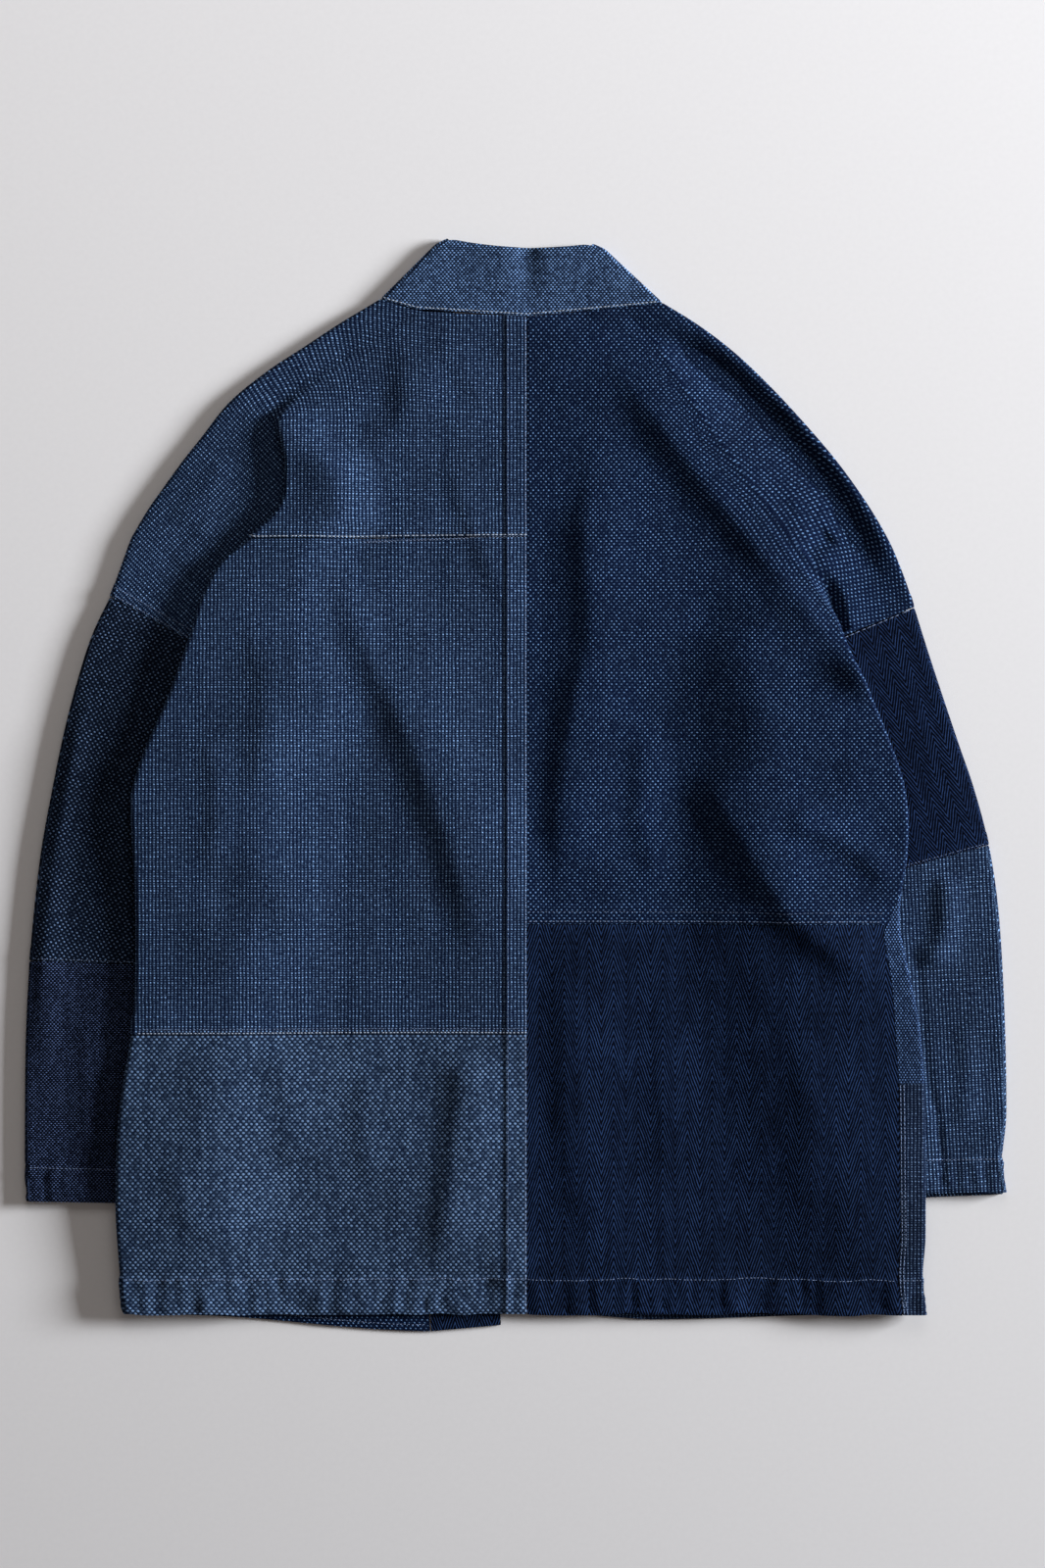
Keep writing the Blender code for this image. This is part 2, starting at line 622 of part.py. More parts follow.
def make_right_back():
    """Right back, with its drop shoulder, in one piece from the neck to the hem panel."""
    rows = list(range(len(RIGHT_SHOULDER)))
    upper = stacked([shoulder_section("right", row, SHOULDER_COUNTS) for row in rows])
    ys = side_rows(RIGHT_TOP_Y, RIGHT_SEAM_Y, PANEL_FELL)
    lower = stacked([side_section("right", y, SIDE_COUNTS)[0] for y in ys])
    lower = inset_columns(lower, False, True)
    pad = np.full((len(ys), upper.shape[1] - lower.shape[1], 3), np.nan)
    grid = np.concatenate([upper, np.concatenate([lower, pad], axis=1)])
    grid[:, 0, 0] += SEAM_GAP / 2
    raised = np.zeros(grid.shape[:2])
    flat = len(rows) + np.flatnonzero(np.array(ys) <= RIGHT_SEAM_Y + PANEL_FELL + 1e-6)
    raised[flat, :SIDE_COUNTS["main"] + 1] = PANEL_RAISE
    first = sum(SHOULDER_COUNTS[key] for key in ("main", "turn", "run", "turn")) + 1
    last = len(rows) - 1
    raised[last, first + 1:-SHOULDER_COUNTS["edge"]] = PANEL_RAISE
    body = inset_rows(grid, True, True)
    arm = inset_rows(grid[:last + 1, first - 1:], False, True)[-1]
    body[last, first - 1:] = arm
    wall("back_right", RICE_NAVY, body, raised=raised)


def shoulder_front(side, colour):
    """The front's upper part: the shoulder fold's under side, and the drop shoulder to the armhole."""
    sign, table, _, sleeve = SIDES[side]
    arm = sleeve[0]
    last_row = len(table) - 1
    neck_y = collar_fold(side, 0.0)[-1][1]
    ends = []
    for row in range(last_row + 1):
        groups = shoulder_section(side, row, SHOULDER_COUNTS)
        out = np.array((column(table, "out_x", None)(row), column(table, "out_y", None)(row)))
        inner = groups[3][-1][:2]
        y = float(column(table, "centre_y", None)(row))
        seam_y = min(y, neck_y - 8.0 - 14.0 * row)
        if side == "right" and row == last_row:
            seam_y = RIGHT_TOP_Y
            share = (arm.out_y - seam_y) / (arm.out_y - arm.in_y)
            inner = np.array((arm.out_x + (arm.in_x - arm.out_x) * share, seam_y))
        seam = np.array((band_seam_x(side, seam_y) + sign * SEAM_GAP, seam_y))
        if (inner[0] - seam[0]) * sign < 15:
            inner = along_line(seam, out, [0.5])[0]
        ends.append((groups[-1][-1], inner, seam))
    rows = []
    for row, (end, inner, seam) in enumerate(ends):
        raised = {last_row - 1: 0.4, last_row: 1.0}.get(row, 0.0)
        rows.append(front_row(end, inner, seam, float(ease(row / 2)), raised))
    if side == "left":
        for share in (0.5, 1.0):
            place = np.array((arm.in_x, arm.in_y)) * share + ends[-1][1] * (1 - share)
            out = np.array((arm.out_x, arm.out_y)) * share + np.array(table[-1][5:7]) * (1 - share)
            end = outer_run(place, LAID, out, SHOULDER_COUNTS)[-1][-1]
            rows.append(front_row(end, place, None, 1.0, 0.0))
    grid = np.array(rows)
    grid = inset_columns(grid, True, False)
    body = inset_rows(grid[:len(ends)], False, True)
    if side == "left":
        grid[len(ends) - 1, 6:] = body[-1, 6:]
        grid[-1, :6] = inset_rows(grid[:, :6], False, True)[-1]
    else:
        grid = body
    wall("front_" + side + "_upper", colour, grid)


def front_row(end, inner, seam, lift, raised):
    """Points from the shoulder fold in to an inner place, and on to the band. Past the inner place
    they rise by a share of the way to the lower front, which passes over the sleeve."""
    out = end[:2]
    first = along_line(out, inner, np.linspace(0, 1, 6))
    width = np.linalg.norm(first - out, axis=1)
    height = FLOOR_MID + lift * edge_lift(width)
    height[0] = end[2]
    points = np.column_stack([first, height])
    if seam is None:
        return np.concatenate([points, np.full((4, 3), np.nan)])
    second = along_line(inner, seam, np.linspace(0, 1, 5))[1:]
    level = FLOOR_MID + (front_height(second[:, 0], second[:, 1]) - FLOOR_MID) * raised
    return np.concatenate([points, np.column_stack([second, level])])


def front_hem_y(side, x):
    """The front hem, which shows a little past the back hem towards the front edge."""
    end = BAND_END[side]
    span = (x - end.seam_x) / (SIDES[side][2][-1].edge_x - end.seam_x)
    return end.seam_y + (BACK_HEM_Y - end.seam_y) * ease(span * 1.15)


def front_panel(name, colour, side, ys, hem=False):
    """A front below the underarm, from the side seam in to the band."""
    sign = SIDES[side][0]
    high, low = ys[0], ys[-1]
    rows = []
    for y in ys:
        lead = side_section(side, y, SIDE_COUNTS)[1]
        seam_x = float(band_seam_x(side, y)) + sign * SEAM_GAP
        x = np.linspace(lead[-1, 0], seam_x, 11)[1:]
        settle = 1 - ease(np.abs(x - lead[-1, 0]) / 30.0)
        height = front_height(x, y) + (lead[-1, 2] - front_height(lead[-1, 0], y)) * settle
        reach = np.full(len(x), y)
        if hem:
            share = (high - y) / (high - low)
            reach = y + (front_hem_y(side, x) - low) * share ** 2
        rows.append(np.concatenate([lead, np.column_stack([x, reach, height])]))
    grid = inset_rows(np.array(rows), True, not hem)
    grid = inset_columns(grid, True, False)
    wall(name, colour, grid)


def collar_corners(side):
    """One side of the neck seam: where its shallow pleat ends, its outer end, and the way between."""
    groups = shoulder_section(side, 0, SHOULDER_COUNTS)
    out = np.array(SIDES[side][1][0][5:7])
    place = groups[3][-1][:2]
    way = (out - place) / np.linalg.norm(out - place)
    return place, out, way


def collar_fold(side, share):
    """The collar's side fold at one share of its depth: over the fold and a little way back under."""
    place, out, way = collar_corners(side)
    top = np.array(COLLAR_TOP[side])
    rise = (top - out) / np.linalg.norm(top - out)
    square = np.array((-rise[1], rise[0])) * -SIDES[side][0]
    way = way * (1 - share) + square * share
    way = way / np.linalg.norm(way)
    end = out * (1 - share) + top * share
    start = end - way * (COLLAR_TURN + BAND / 2)
    angle = np.concatenate([[0.0], turn_angles(6)])
    plan = start + way * (COLLAR_TURN * np.sin(angle))[:, None]
    height = LAID - COLLAR_TURN * (1 - np.cos(angle))
    points = np.column_stack([plan, height])
    return np.concatenate([points, [[*(start - way * HEM_RUN), height[-1]]]])


def make_collar():
    """The band behind the neck, folded at both shoulder points, where it turns under to the front."""
    centre = np.array((CENTRE_X, RIGHT_SHOULDER[0].centre_y))
    left, right = [collar_corners(side)[0] for side in ("left", "right")]
    seam_ends = [collar_fold(side, 0.0)[0, :2] for side in ("left", "right")]
    top_ends = [collar_fold(side, 1.0)[0, :2] for side in ("left", "right")]
    marks = [seam_ends[0], left, centre, right, seam_ends[1]]
    low = [along_line(a, b, np.arange(n) / n) for a, b, n in zip(marks[:-1], marks[1:], (2, 5, 5, 2))]
    low = np.concatenate([*low, marks[-1:]])
    across = (low[:, 0] - low[0, 0]) / (low[-1, 0] - low[0, 0])
    high = along_line(*top_ends, across)
    high[:, 1] -= COLLAR_DIP * 4 * across * (1 - across)
    rows = []
    for share in np.linspace(0, 1, 5):
        turned = [collar_fold(side, share) for side in ("left", "right")]
        plan = low * (1 - share) + high * share
        plan[0], plan[-1] = turned[0][0, :2], turned[1][0, :2]
        dent = COLLAR_DENT * share * np.exp(-(((plan[:, 0] - CENTRE_X) / 16) ** 2))
        middle = np.column_stack([plan, LAID - dent])
        rows.append(np.concatenate([turned[0][:0:-1], middle, turned[1][1:]]))
    grid = inset_rows(np.array(rows), True, False)
    grid = inset_columns(grid, True, True)
    wall("collar", BASKET_BLUE, grid, thickness=BAND)


def make_band(name, colour, side):
    """A front band, from the collar's fold down the front edge to the hem."""
    end = BAND_END[side]
    top = np.array([collar_fold(side, share)[-1] for share in (0, 0.5, 1)])
    inner_top = top[2]
    rows = [top]
    for share in np.linspace(0, 1, 12):
        y = np.linspace(end.seam_y, end.inner_y, 3) * share + 350.0 * (1 - share)
        seam_x = band_seam_x(side, y[0])
        way = (inner_top[1] - y[2]) / (inner_top[1] - end.inner_y)
        inner_x = inner_top[0] + (end.inner_x - inner_top[0]) * way
        x = np.linspace(seam_x, inner_x, 3)
        rows.append(np.column_stack([x, y, np.full(3, BAND / 2)]))
    grid = inset_rows(np.array(rows), True, False)
    wall(name, colour, grid, thickness=BAND)


def sleeve_ring(side, row):
    """One flattened ring of a sleeve: over the top from the outer edge, and back along the surface."""
    table = SIDES[side][3]
    at = {name: float(column(table, name, None)(row)) for name in Sleeve._fields}
    out = np.array((at["out_x"], at["out_y"]))
    inner = np.array((at["in_x"], at["in_y"]))
    width = np.linalg.norm(out - inner)
    way = (out - inner) / width
    half = TURN + CLOTH / 2
    outer_end, inner_end = out - way * half, inner + way * half
    shares = np.linspace(0, 1, 9)
    plan = along_line(outer_end, inner_end, shares)
    inward = shares * (width - 2 * half)
    fade = ease(inward / 8.0) * ease((width - 2 * half - inward) / 20.0)
    folds = sum(ridge(fold, plan[:, 0], plan[:, 1]) for fold in SLEEVE_FOLDS)
    top = np.column_stack([plan, LAID + edge_lift(inward) + folds * fade])
    angle = turn_angles(5)[:-1]
    rounded = np.column_stack([
        inner_end - way * (TURN * np.sin(angle))[:, None], LAID - TURN * (1 - np.cos(angle))])
    shares = np.linspace(0, 1, 6)
    plan = along_line(inner_end, outer_end, shares)
    under = np.column_stack([plan, FLOOR_MID + edge_lift((1 - shares) * (width - 2 * half))])
    outer_round = np.column_stack([
        outer_end + way * (TURN * np.sin(angle))[:, None],
        top[0, 2] - TURN * (1 + np.cos(angle))])
    return np.concatenate([top, rounded, under, outer_round])


def make_sleeve(name, colour, side, first, last, cuff=False):
    """A length of sleeve between two sections, as a flattened tube that is open at both ends."""
    table = SIDES[side][3]
    rows = list(np.arange(first, last + 0.01, 1.0))
    if cuff:
        end_y = table[-1].out_y
        fine = np.linspace(first, last, 801)
        ys = column(table, "out_y", None)(fine)
        hem = [float(np.interp(-(end_y + CUFF_DEPTH + more), -ys, fine)) for more in (0, FELL_STEP)]
        rows = sorted([row for row in rows if all(abs(row - h) > 0.3 for h in hem)] + hem)
        if rows[-1] != last:
            rows.append(last)
    grid = np.array([sleeve_ring(side, row) for row in rows])
    raised = np.zeros(grid.shape[:2])
    if cuff:
        raised[-(len(rows) - rows.index(hem[0])):, :9] = HEM_RAISE
        if side == "right":
            share = np.linspace(1, 0.0, 6)
            grid[-1, 13:19, 1] -= CUFF_SLIP * share
    grid = inset_rows(grid, True, not cuff)
    wall(name, colour, grid, raised=raised, ring=True)


# The model

for old in list(bpy.data.objects):
    bpy.data.objects.remove(old, do_unlink=True)
bpy.context.scene.unit_settings.scale_length = 1.0
jacket = bpy.data.collections.new("patchwork_jacket")
bpy.context.scene.collection.children.link(jacket)

left_rows = side_rows(LEFT_TOP_Y, LEFT_SEAM_Y, PANEL_FELL)
left_hem_rows = side_rows(LEFT_SEAM_Y, BACK_HEM_Y, HEM_DEPTH)
right_rows = side_rows(RIGHT_TOP_Y, RIGHT_SEAM_Y, PANEL_FELL)
right_hem_rows = side_rows(RIGHT_SEAM_Y, BACK_HEM_Y, HEM_DEPTH)
right_front_rows = right_rows + right_hem_rows[1:]
patch_row = min(range(len(right_front_rows)), key=lambda i: abs(right_front_rows[i] - FRONT_PATCH_Y))

make_left_yoke()
back_panel("back_left", GRID_BLUE, "left", LEFT_TOP_Y, LEFT_SEAM_Y, tilt=YOKE_TILT)
back_panel("hem_left", BIRDSEYE_BLUE, "left", LEFT_SEAM_Y, BACK_HEM_Y, hem=True)
make_right_back()
back_panel("hem_right", HERRINGBONE_NAVY, "right", RIGHT_SEAM_Y, BACK_HEM_Y, hem=True)
shoulder_front("left", GRID_BLUE)
shoulder_front("right", RICE_NAVY)
front_panel("front_left", RICE_NAVY, "left", left_rows + left_hem_rows[1:], hem=True)
front_panel("front_right", BASKET_BLUE, "right", right_front_rows[:patch_row + 1])
front_panel("front_right_hem", GRID_BLUE, "right", right_front_rows[patch_row:], hem=True)
make_collar()
make_band("band_left", HERRINGBONE_NAVY, "left")
make_band("band_right", GRID_BLUE, "right")
make_sleeve("sleeve_left_upper", RICE_NAVY, "left", 0, LEFT_PATCH_ROW)
make_sleeve("sleeve_left_lower", DOT_BLUE, "left", LEFT_PATCH_ROW, len(LEFT_SLEEVE) - 1, cuff=True)
make_sleeve("sleeve_right_upper", HERRINGBONE_NAVY, "right", 0, RIGHT_PATCH_ROW)
make_sleeve("sleeve_right_lower", GRID_BLUE, "right", RIGHT_PATCH_ROW, len(RIGHT_SLEEVE) - 1, cuff=True)
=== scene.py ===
"""Looks for the patchwork cotton jacket that lies flat with its back up.

Every cloth piece is made again at a finer step from the same sections as its CAD solid, with small
folds, puckers, raised seams and stitches. Lengths in the tables are millimetres.
"""
import math
from collections import namedtuple

import bpy
import numpy as np
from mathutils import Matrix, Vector


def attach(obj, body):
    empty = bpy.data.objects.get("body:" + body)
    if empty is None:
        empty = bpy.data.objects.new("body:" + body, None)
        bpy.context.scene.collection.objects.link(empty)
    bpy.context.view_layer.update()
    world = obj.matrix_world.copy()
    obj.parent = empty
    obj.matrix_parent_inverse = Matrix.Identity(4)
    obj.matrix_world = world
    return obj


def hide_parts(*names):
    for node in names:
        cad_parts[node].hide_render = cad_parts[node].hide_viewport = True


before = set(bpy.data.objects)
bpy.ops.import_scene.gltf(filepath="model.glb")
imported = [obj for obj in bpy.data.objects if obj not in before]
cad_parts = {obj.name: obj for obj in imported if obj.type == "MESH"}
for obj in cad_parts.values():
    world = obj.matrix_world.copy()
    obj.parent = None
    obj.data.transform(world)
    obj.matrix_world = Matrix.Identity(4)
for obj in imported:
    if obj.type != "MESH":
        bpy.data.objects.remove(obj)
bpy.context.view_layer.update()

MM = 0.001

# Cloth and layers
CLOTH = 1.2          # one layer of heavy sashiko cotton
BAND = 2.4           # the collar and front band, which is the cloth doubled
SEAM_GAP = 0.4       # between two pieces that are sewn together, measured along the rows
TURN = 2.4           # radius of the wall's middle where the cloth folds over
FLOOR_MID = CLOTH / 2
LAID = FLOOR_MID + 2 * TURN      # height of the back's middle where the jacket lies flattest
FELL_WIDTH = 16.0    # felled centre seam, on the left panels
FELL_STEP = 1.0      # how soon the raised seam drops to the single cloth
FELL_COLUMNS = 9     # columns of points on that strip and its drop
FELL_RAISE = 0.7
HEM_RAISE = 0.6
PANEL_FELL = 14.0    # felled allowance above each cross seam
PANEL_RAISE = 0.5
YOKE_RAISE = 1.8 * PANEL_RAISE
ARM_FELL = 9.0       # the same at the armholes and down the sleeves
SLEEVE_RAISE = 0.35

# Across the jacket
CENTRE_X = 8.6
PLEAT_REACH = 40.0   # how far in from a pleat its height is felt
EDGE_LIFT = 0.8      # how far shoulder and sleeve edges stand off the surface
EDGE_REACH = 45.0
UNDER_RUN = 12.0     # how far the back cloth runs in under the side fold
HEM_RUN = 3.0        # how far it runs in under the shoulder fold and the collar's fold

# Up and down the jacket
YOKE_SEAM_Y = 188.6
LEFT_SEAM_Y = -191.6
RIGHT_SEAM_Y = -107.6
BACK_HEM_Y = -405.4
HEM_DEPTH = 28.0
CUFF_DEPTH = 27.0

# Shoulder sections, neck to yoke seam or armhole. The centre seam point, the fold (pleat) point and
# the point on the outline; turn is how far the pleat has folded over in degrees, depth how far in
# it runs under.
Shoulder = namedtuple("Shoulder", "centre_y fold_x fold_y turn depth out_x out_y")
LEFT_SHOULDER = [Shoulder(*row) for row in (
    (356.8, -70.0, 360.4, 5, 1, -103.5, 370.1),
    (335.0, -106.0, 340.0, 5, 1, -133.5, 352.1),
    (312.0, -138.0, 318.0, 6, 1, -162.0, 333.4),
    (290.0, -166.0, 298.0, 14, 1, -190.5, 314.6),
    (268.0, -183.0, 277.0, 70, 1, -219.0, 291.0),
    (250.0, -179.0, 260.0, 130, 1, -240.0, 264.5),
    (235.0, -176.0, 244.0, 180, 2, -255.0, 245.5),
    (220.0, -176.0, 229.0, 180, 14, -268.0, 227.5),
    (205.0, -182.0, 209.0, 180, 28, -281.0, 209.0),
    (188.6, -203.0, 187.0, 180, 40, -294.0, 187.0),
)]
RIGHT_SHOULDER = [Shoulder(*row) for row in (
    (356.8, 75.0, 363.2, 5, 1, 112.5, 367.1),
    (330.0, 98.0, 338.0, 5, 1, 140.0, 350.0),
    (302.0, 118.0, 306.0, 5, 1, 167.0, 329.5),
    (274.0, 138.0, 274.0, 5, 1, 194.0, 304.0),
    (246.0, 160.0, 243.0, 6, 1, 221.0, 275.0),
    (218.0, 182.0, 213.0, 8, 1, 246.0, 245.5),
    (190.0, 204.0, 184.0, 14, 1, 268.5, 214.0),
    (163.0, 226.0, 157.0, 30, 1, 285.0, 186.0),
    (143.0, 239.0, 137.0, 90, 1, 294.5, 164.0),
    (127.0, 246.5, 123.0, 160, 2, 300.5, 147.5),
    (112.0, 250.5, 112.0, 180, 22, 304.5, 134.6),
)]

# Side sections, from the underarm to the hem. lift is how high the side fold stands over the laid
# jacket, because the sleeve is tucked below. The jacket keeps that height for flat, going in from
# the fold, and comes down over fall.
Side = namedtuple("Side", "y edge_x lift flat fall")
LEFT_SIDE = [Side(*row) for row in (
    (300.0, -165.0, 0.0, 20, 40),
    (268.0, -183.0, 3.2, 24, 45),
    (235.0, -176.0, 9.6, 30, 45),
    (205.0, -182.0, 9.6, 40, 45),
    (186.0, -203.0, 10.0, 45, 50),
    (169.0, -224.0, 10.8, 55, 55),
    (150.0, -235.5, 11.6, 65, 65),
    (110.0, -249.0, 12.6, 80, 75),
    (68.0, -264.0, 13.0, 86, 85),
    (7.0, -288.8, 13.4, 84, 95),
    (-15.0, -293.3, 13.2, 84, 95),
    (-60.0, -291.0, 12.2, 84, 95),
    (-105.0, -289.5, 11.2, 80, 95),
    (-180.0, -291.6, 10.2, 72, 90),
    (-250.0, -302.3, 9.4, 64, 90),
    (-320.0, -305.0, 8.8, 56, 90),
    (-360.0, -303.0, 7.0, 48, 80),
    (-405.4, -298.5, 5.0, 40, 70),
)]
RIGHT_SIDE = [Side(*row) for row in (
    (200.0, 196.0, 0.0, 30, 50),
    (160.0, 228.0, 2.2, 40, 60),
    (127.0, 246.5, 9.0, 45, 65),
    (112.0, 250.5, 9.6, 60, 70),
    (72.0, 268.5, 11.6, 76, 80),
    (36.0, 283.5, 12.0, 84, 90),
    (0.0, 295.5, 11.8, 84, 95),
    (-31.0, 299.3, 11.4, 84, 95),
    (-58.0, 297.8, 11.0, 84, 95),
    (-88.0, 293.3, 10.6, 84, 95),
    (-105.0, 292.5, 10.2, 84, 95),
    (-131.0, 297.0, 9.9, 84, 95),
    (-180.0, 307.0, 9.5, 82, 95),
    (-225.0, 311.3, 9.2, 76, 95),
    (-300.0, 312.5, 8.8, 60, 90),
    (-345.0, 312.6, 7.0, 50, 80),
    (-376.0, 310.5, 5.8, 42, 75),
    (-405.4, 313.5, 5.0, 40, 70),
)]

# The right side seam, which turns up onto the back: how far along the cloth it lies from the
# outermost point of the side fold
SeamPlace = namedtuple("SeamPlace", "y turned")
RIGHT_SEAM = [SeamPlace(*row) for row in (
    (112.0, 0.0),
    (-70.0, 0.0),
    (-101.0, 7.8),
    (-116.0, 14.3),
    (-143.0, 15.3),
    (-195.0, 20.3),
    (-263.0, 20.8),
    (-405.4, 19.3),
)]

# Sleeve sections, armhole to cuff: the outer edge, and the inner edge that lies under the body
Sleeve = namedtuple("Sleeve", "out_x out_y in_x in_y")
LEFT_SLEEVE = [Sleeve(*row) for row in (
    (-309.8, 142.9, -168.0, 64.0),
    (-325.5, 108.4, -164.0, 36.0),
    (-342.0, 52.1, -167.0, -2.0),
    (-354.0, -4.1, -173.0, -46.0),
    (-363.8, -60.4, -182.0, -92.0),
    (-371.3, -135.4, -196.0, -141.0),
    (-374.6, -210.4, -213.0, -214.0),
    (-375.0, -285.4, -232.0, -288.0),
    (-373.5, -319.1, -241.0, -322.0),
)]
RIGHT_SLEEVE = [Sleeve(*row) for row in (
    (304.5, 134.6, 184.0, 84.0),
    (318.8, 89.6, 172.0, 44.0),
    (337.5, 33.4, 169.0, -8.0),
    (350.3, -4.1, 171.0, -50.0),
    (361.5, -46.9, 176.0, -98.0),
    (369.0, -97.9, 186.0, -136.0),
    (373.5, -172.9, 202.0, -192.0),
    (375.0, -247.9, 221.0, -256.0),
    (372.0, -285.4, 232.0, -288.0),
    (375.0, -312.4, 241.0, -314.0),
)]
LEFT_PATCH_ROW = 5   # the section where the two cloths of each sleeve meet
RIGHT_PATCH_ROW = 4
CUFF_SLIP = 5.5      # how far the right cuff's under layer hangs past the upper one

# Collar and front band
COLLAR_TOP = {"left": (-54.8, 418.9), "right": (61.5, 415.0)}     # top corners
COLLAR_DIP = 5.0     # sag of the collar's top edge between its corners
COLLAR_DENT = 3.3    # dip in the middle of its top edge
COLLAR_DENT_WIDTH = 9.0
COLLAR_TURN = (LAID - BAND / 2) / 2
BandEnd = namedtuple("BandEnd", "seam_x inner_x seam_y inner_y")
BAND_END = {
    "left": BandEnd(-64.5, -11.3, -418.9, -414.2),
    "right": BandEnd(98.3, 44.3, -409.9, -405.6),
}
LEFT_TOP_Y = 186.6   # where the side sections start, just below the shoulder sections
RIGHT_TOP_Y = 88.0
YOKE_TILT = 1.8      # how much higher the yoke seam lies at the centre than at the pleat
FRONT_PATCH_Y = -229.0           # the two cloths of the right front meet here

# Folds, as ridges. left and right are the half widths of their two flanks.
Fold = namedtuple("Fold", "height left right path")
FOLDS = [Fold(*row) for row in (
    # the large ones
    (6.6, 17, 46, ((-132, 175), (-113, 112), (-72, 22), (-42, -60), (-19, -150))),
    (3.3, 13, 34, ((-82, 352), (-82, 294), (-97, 262), (-135, 250), (-172, 248))),
    (7.8, 15, 32, ((66, 338), (117, 268), (166, 206), (222, 138), (262, 84), (276, 60))),
    (-5.6, 18, 10, ((98, 346), (150, 318), (222, 246), (258, 194), (280, 142))),
    (6.4, 14, 34, ((140, 14), (160, -20), (197, -80), (238, -124), (287, -146))),
    (4.8, 13, 36, ((66, 266), (56, 190), (59, 118), (45, 52), (36, -30), (36, -98))),
    (4.4, 13, 28, ((-36, -200), (-44, -278), (-59, -385))),
    (3.0, 16, 30, ((-176, -199), (-170, -250), (-166, -300))),
    (2.8, 15, 30, ((42, -116), (40, -200), (46, -290), (66, -384))),
    (3.0, 9, 14, ((200, -30), (234, -38), (266, -56), (292, -82))),
    (2.2, 10, 18, ((100, 48), (96, -20), (112, -74))),
    (-1.4, 20, 20, ((17, 300), (17, 0), (17, -405))),
    # small ones
    (-1.6, 14, 9, ((14, 352), (60, 352), (112, 338), (150, 318), (180, 292))),
    (1.2, 8, 14, ((-60, 345), (-42, 316), (-20, 290))),
    (1.6, 9, 18, ((-48, 245), (-28, 185), (4, 118))),
    (1.3, 10, 14, ((-262, -282), (-250, -330), (-205, -346))),
    (-4.2, 7, 8, ((220, 172), (230, 181), (242, 192))),
    (1.2, 8, 12, ((206, 208), (226, 214), (246, 206))),
    (1.4, 9, 16, ((-15, -330), (-12, -365), (-8, -392))),
    (1.2, 10, 18, ((120, -150), (112, -230), (118, -300))),
    (1.0, 9, 14, ((210, -180), (222, -250), (214, -320))),
    (1.0, 8, 14, ((-112, -215), (-118, -262), (-108, -310))),
    (1.4, 8, 12, ((-236, 40), (-226, -10), (-232, -70))),
    (1.3, 8, 14, ((-205, 130), (-190, 60), (-196, -10))),
    (1.4, 9, 14, ((-216, 250), (-238, 222), (-262, 196))),
    (1.2, 8, 12, ((-226, 205), (-246, 182), (-262, 168))),
)]
SLEEVE_FOLDS = [Fold(*row) for row in (
    (2.2, 12, 10, ((-324, 90), (-340, 10), (-352, -60), (-360, -150), (-360, -230))),
    (2.4, 30, 7, ((-283, 100), (-297, -11), (-299, -100), (-303, -190), (-308, -260))),
    (3.6, 9, 10, ((329, -64), (328, -108), (312, -144))),
    (1.4, 7, 8, ((-352, -142), (-346, -152), (-352, -164))),
    (1.2, 8, 9, ((-322, -170), (-328, -230), (-322, -290))),
    (1.2, 8, 9, ((342, -180), (346, -220), (340, -270))),
)]
UNDERARM_PATH = ((300, -120), (307, -147), (315, -224), (323, -264), (328, -330))
UNDERARM_SEAM = Fold(-1.5, 2.0, 2.4, UNDERARM_PATH)

SIDES = {
    "left": (-1, LEFT_SHOULDER, LEFT_SIDE, LEFT_SLEEVE),
    "right": (1, RIGHT_SHOULDER, RIGHT_SIDE, RIGHT_SLEEVE),
}
COLLAR_ROUND = 11.0  # how far the collar's upper corners are rounded
HEM_WAVE = 1.1       # how unevenly the back hem runs

# Rows and columns of points
FINE_SCALE = 1.0
STEP = 3.2           # usual distance between rows
HIDDEN_STEP = 9.0    # the same on the left front, which lies below
FINE_SHOULDER = {"main": 86, "turn": 10, "run": 6, "outer": 38, "edge": 12}
FINE_SIDE = {"main": 86, "turn": 12, "run": 4}
SLEEVE_COUNTS = {"top": 52, "turn": 8, "under": 16}
PLEAT_END = sum(FINE_SHOULDER[key] for key in ("main", "turn", "run", "turn"))
LEAD_COUNT = 26      # columns of the right front between its side seam and the under side
STRIP_COUNT = 8      # of those, the ones on the back
FRONT_COUNT = 34
FRONT_ROW = 14
DROP_HIDDEN = 8       # rows of the left drop shoulder on its under side
BAND_COUNT = 13
BAND_ROWS = 90
BAND_TOP_Y = 350.0
COLLAR_ROWS = 25
COLLAR_COUNTS = (8, 28, 28, 8)
OUTER_SETTLE = 32.0  # how far outside a pleat the cloth has come down from it

# The weave fans out about the upper end of each shoulder pleat: that place, and the degrees it turns.
# It opens over FAN_SPAN degrees, is whole as far as FAN_WHOLE and fades over FAN_FADE, but not
# outside the pleat, which begins FAN_BACK degrees round.
Fan = namedtuple("Fan", "x y angle")
FANS = {"left": Fan(-182.0, 277.0, 44.0), "right": Fan(228.0, 157.0, 38.0)}
FAN_FROM = -20.0
FAN_SPAN = 210.0
FAN_WHOLE = 40.0
FAN_FADE = 120.0
FAN_BACK = 70.0
FAN_BACK_SPAN = 60.0
FAN_WRAP = -60.0     # outside the pleat, angles below this are counted past 180

# Wear, as a share of the full fading
WORN = 0.7
WORN_COLLAR = 0.9
WORN_BAND = 0.6
WORN_REACH = 7.0     # how far from a seam or an edge


# Curves and fields

def ease(t):
    """0 to 1, level at both ends."""
    t = np.clip(t, 0.0, 1.0)
    return t * t * (3 - 2 * t)


def unit(v):
    return v / np.maximum(np.linalg.norm(v, axis=-1, keepdims=True), 1e-9)


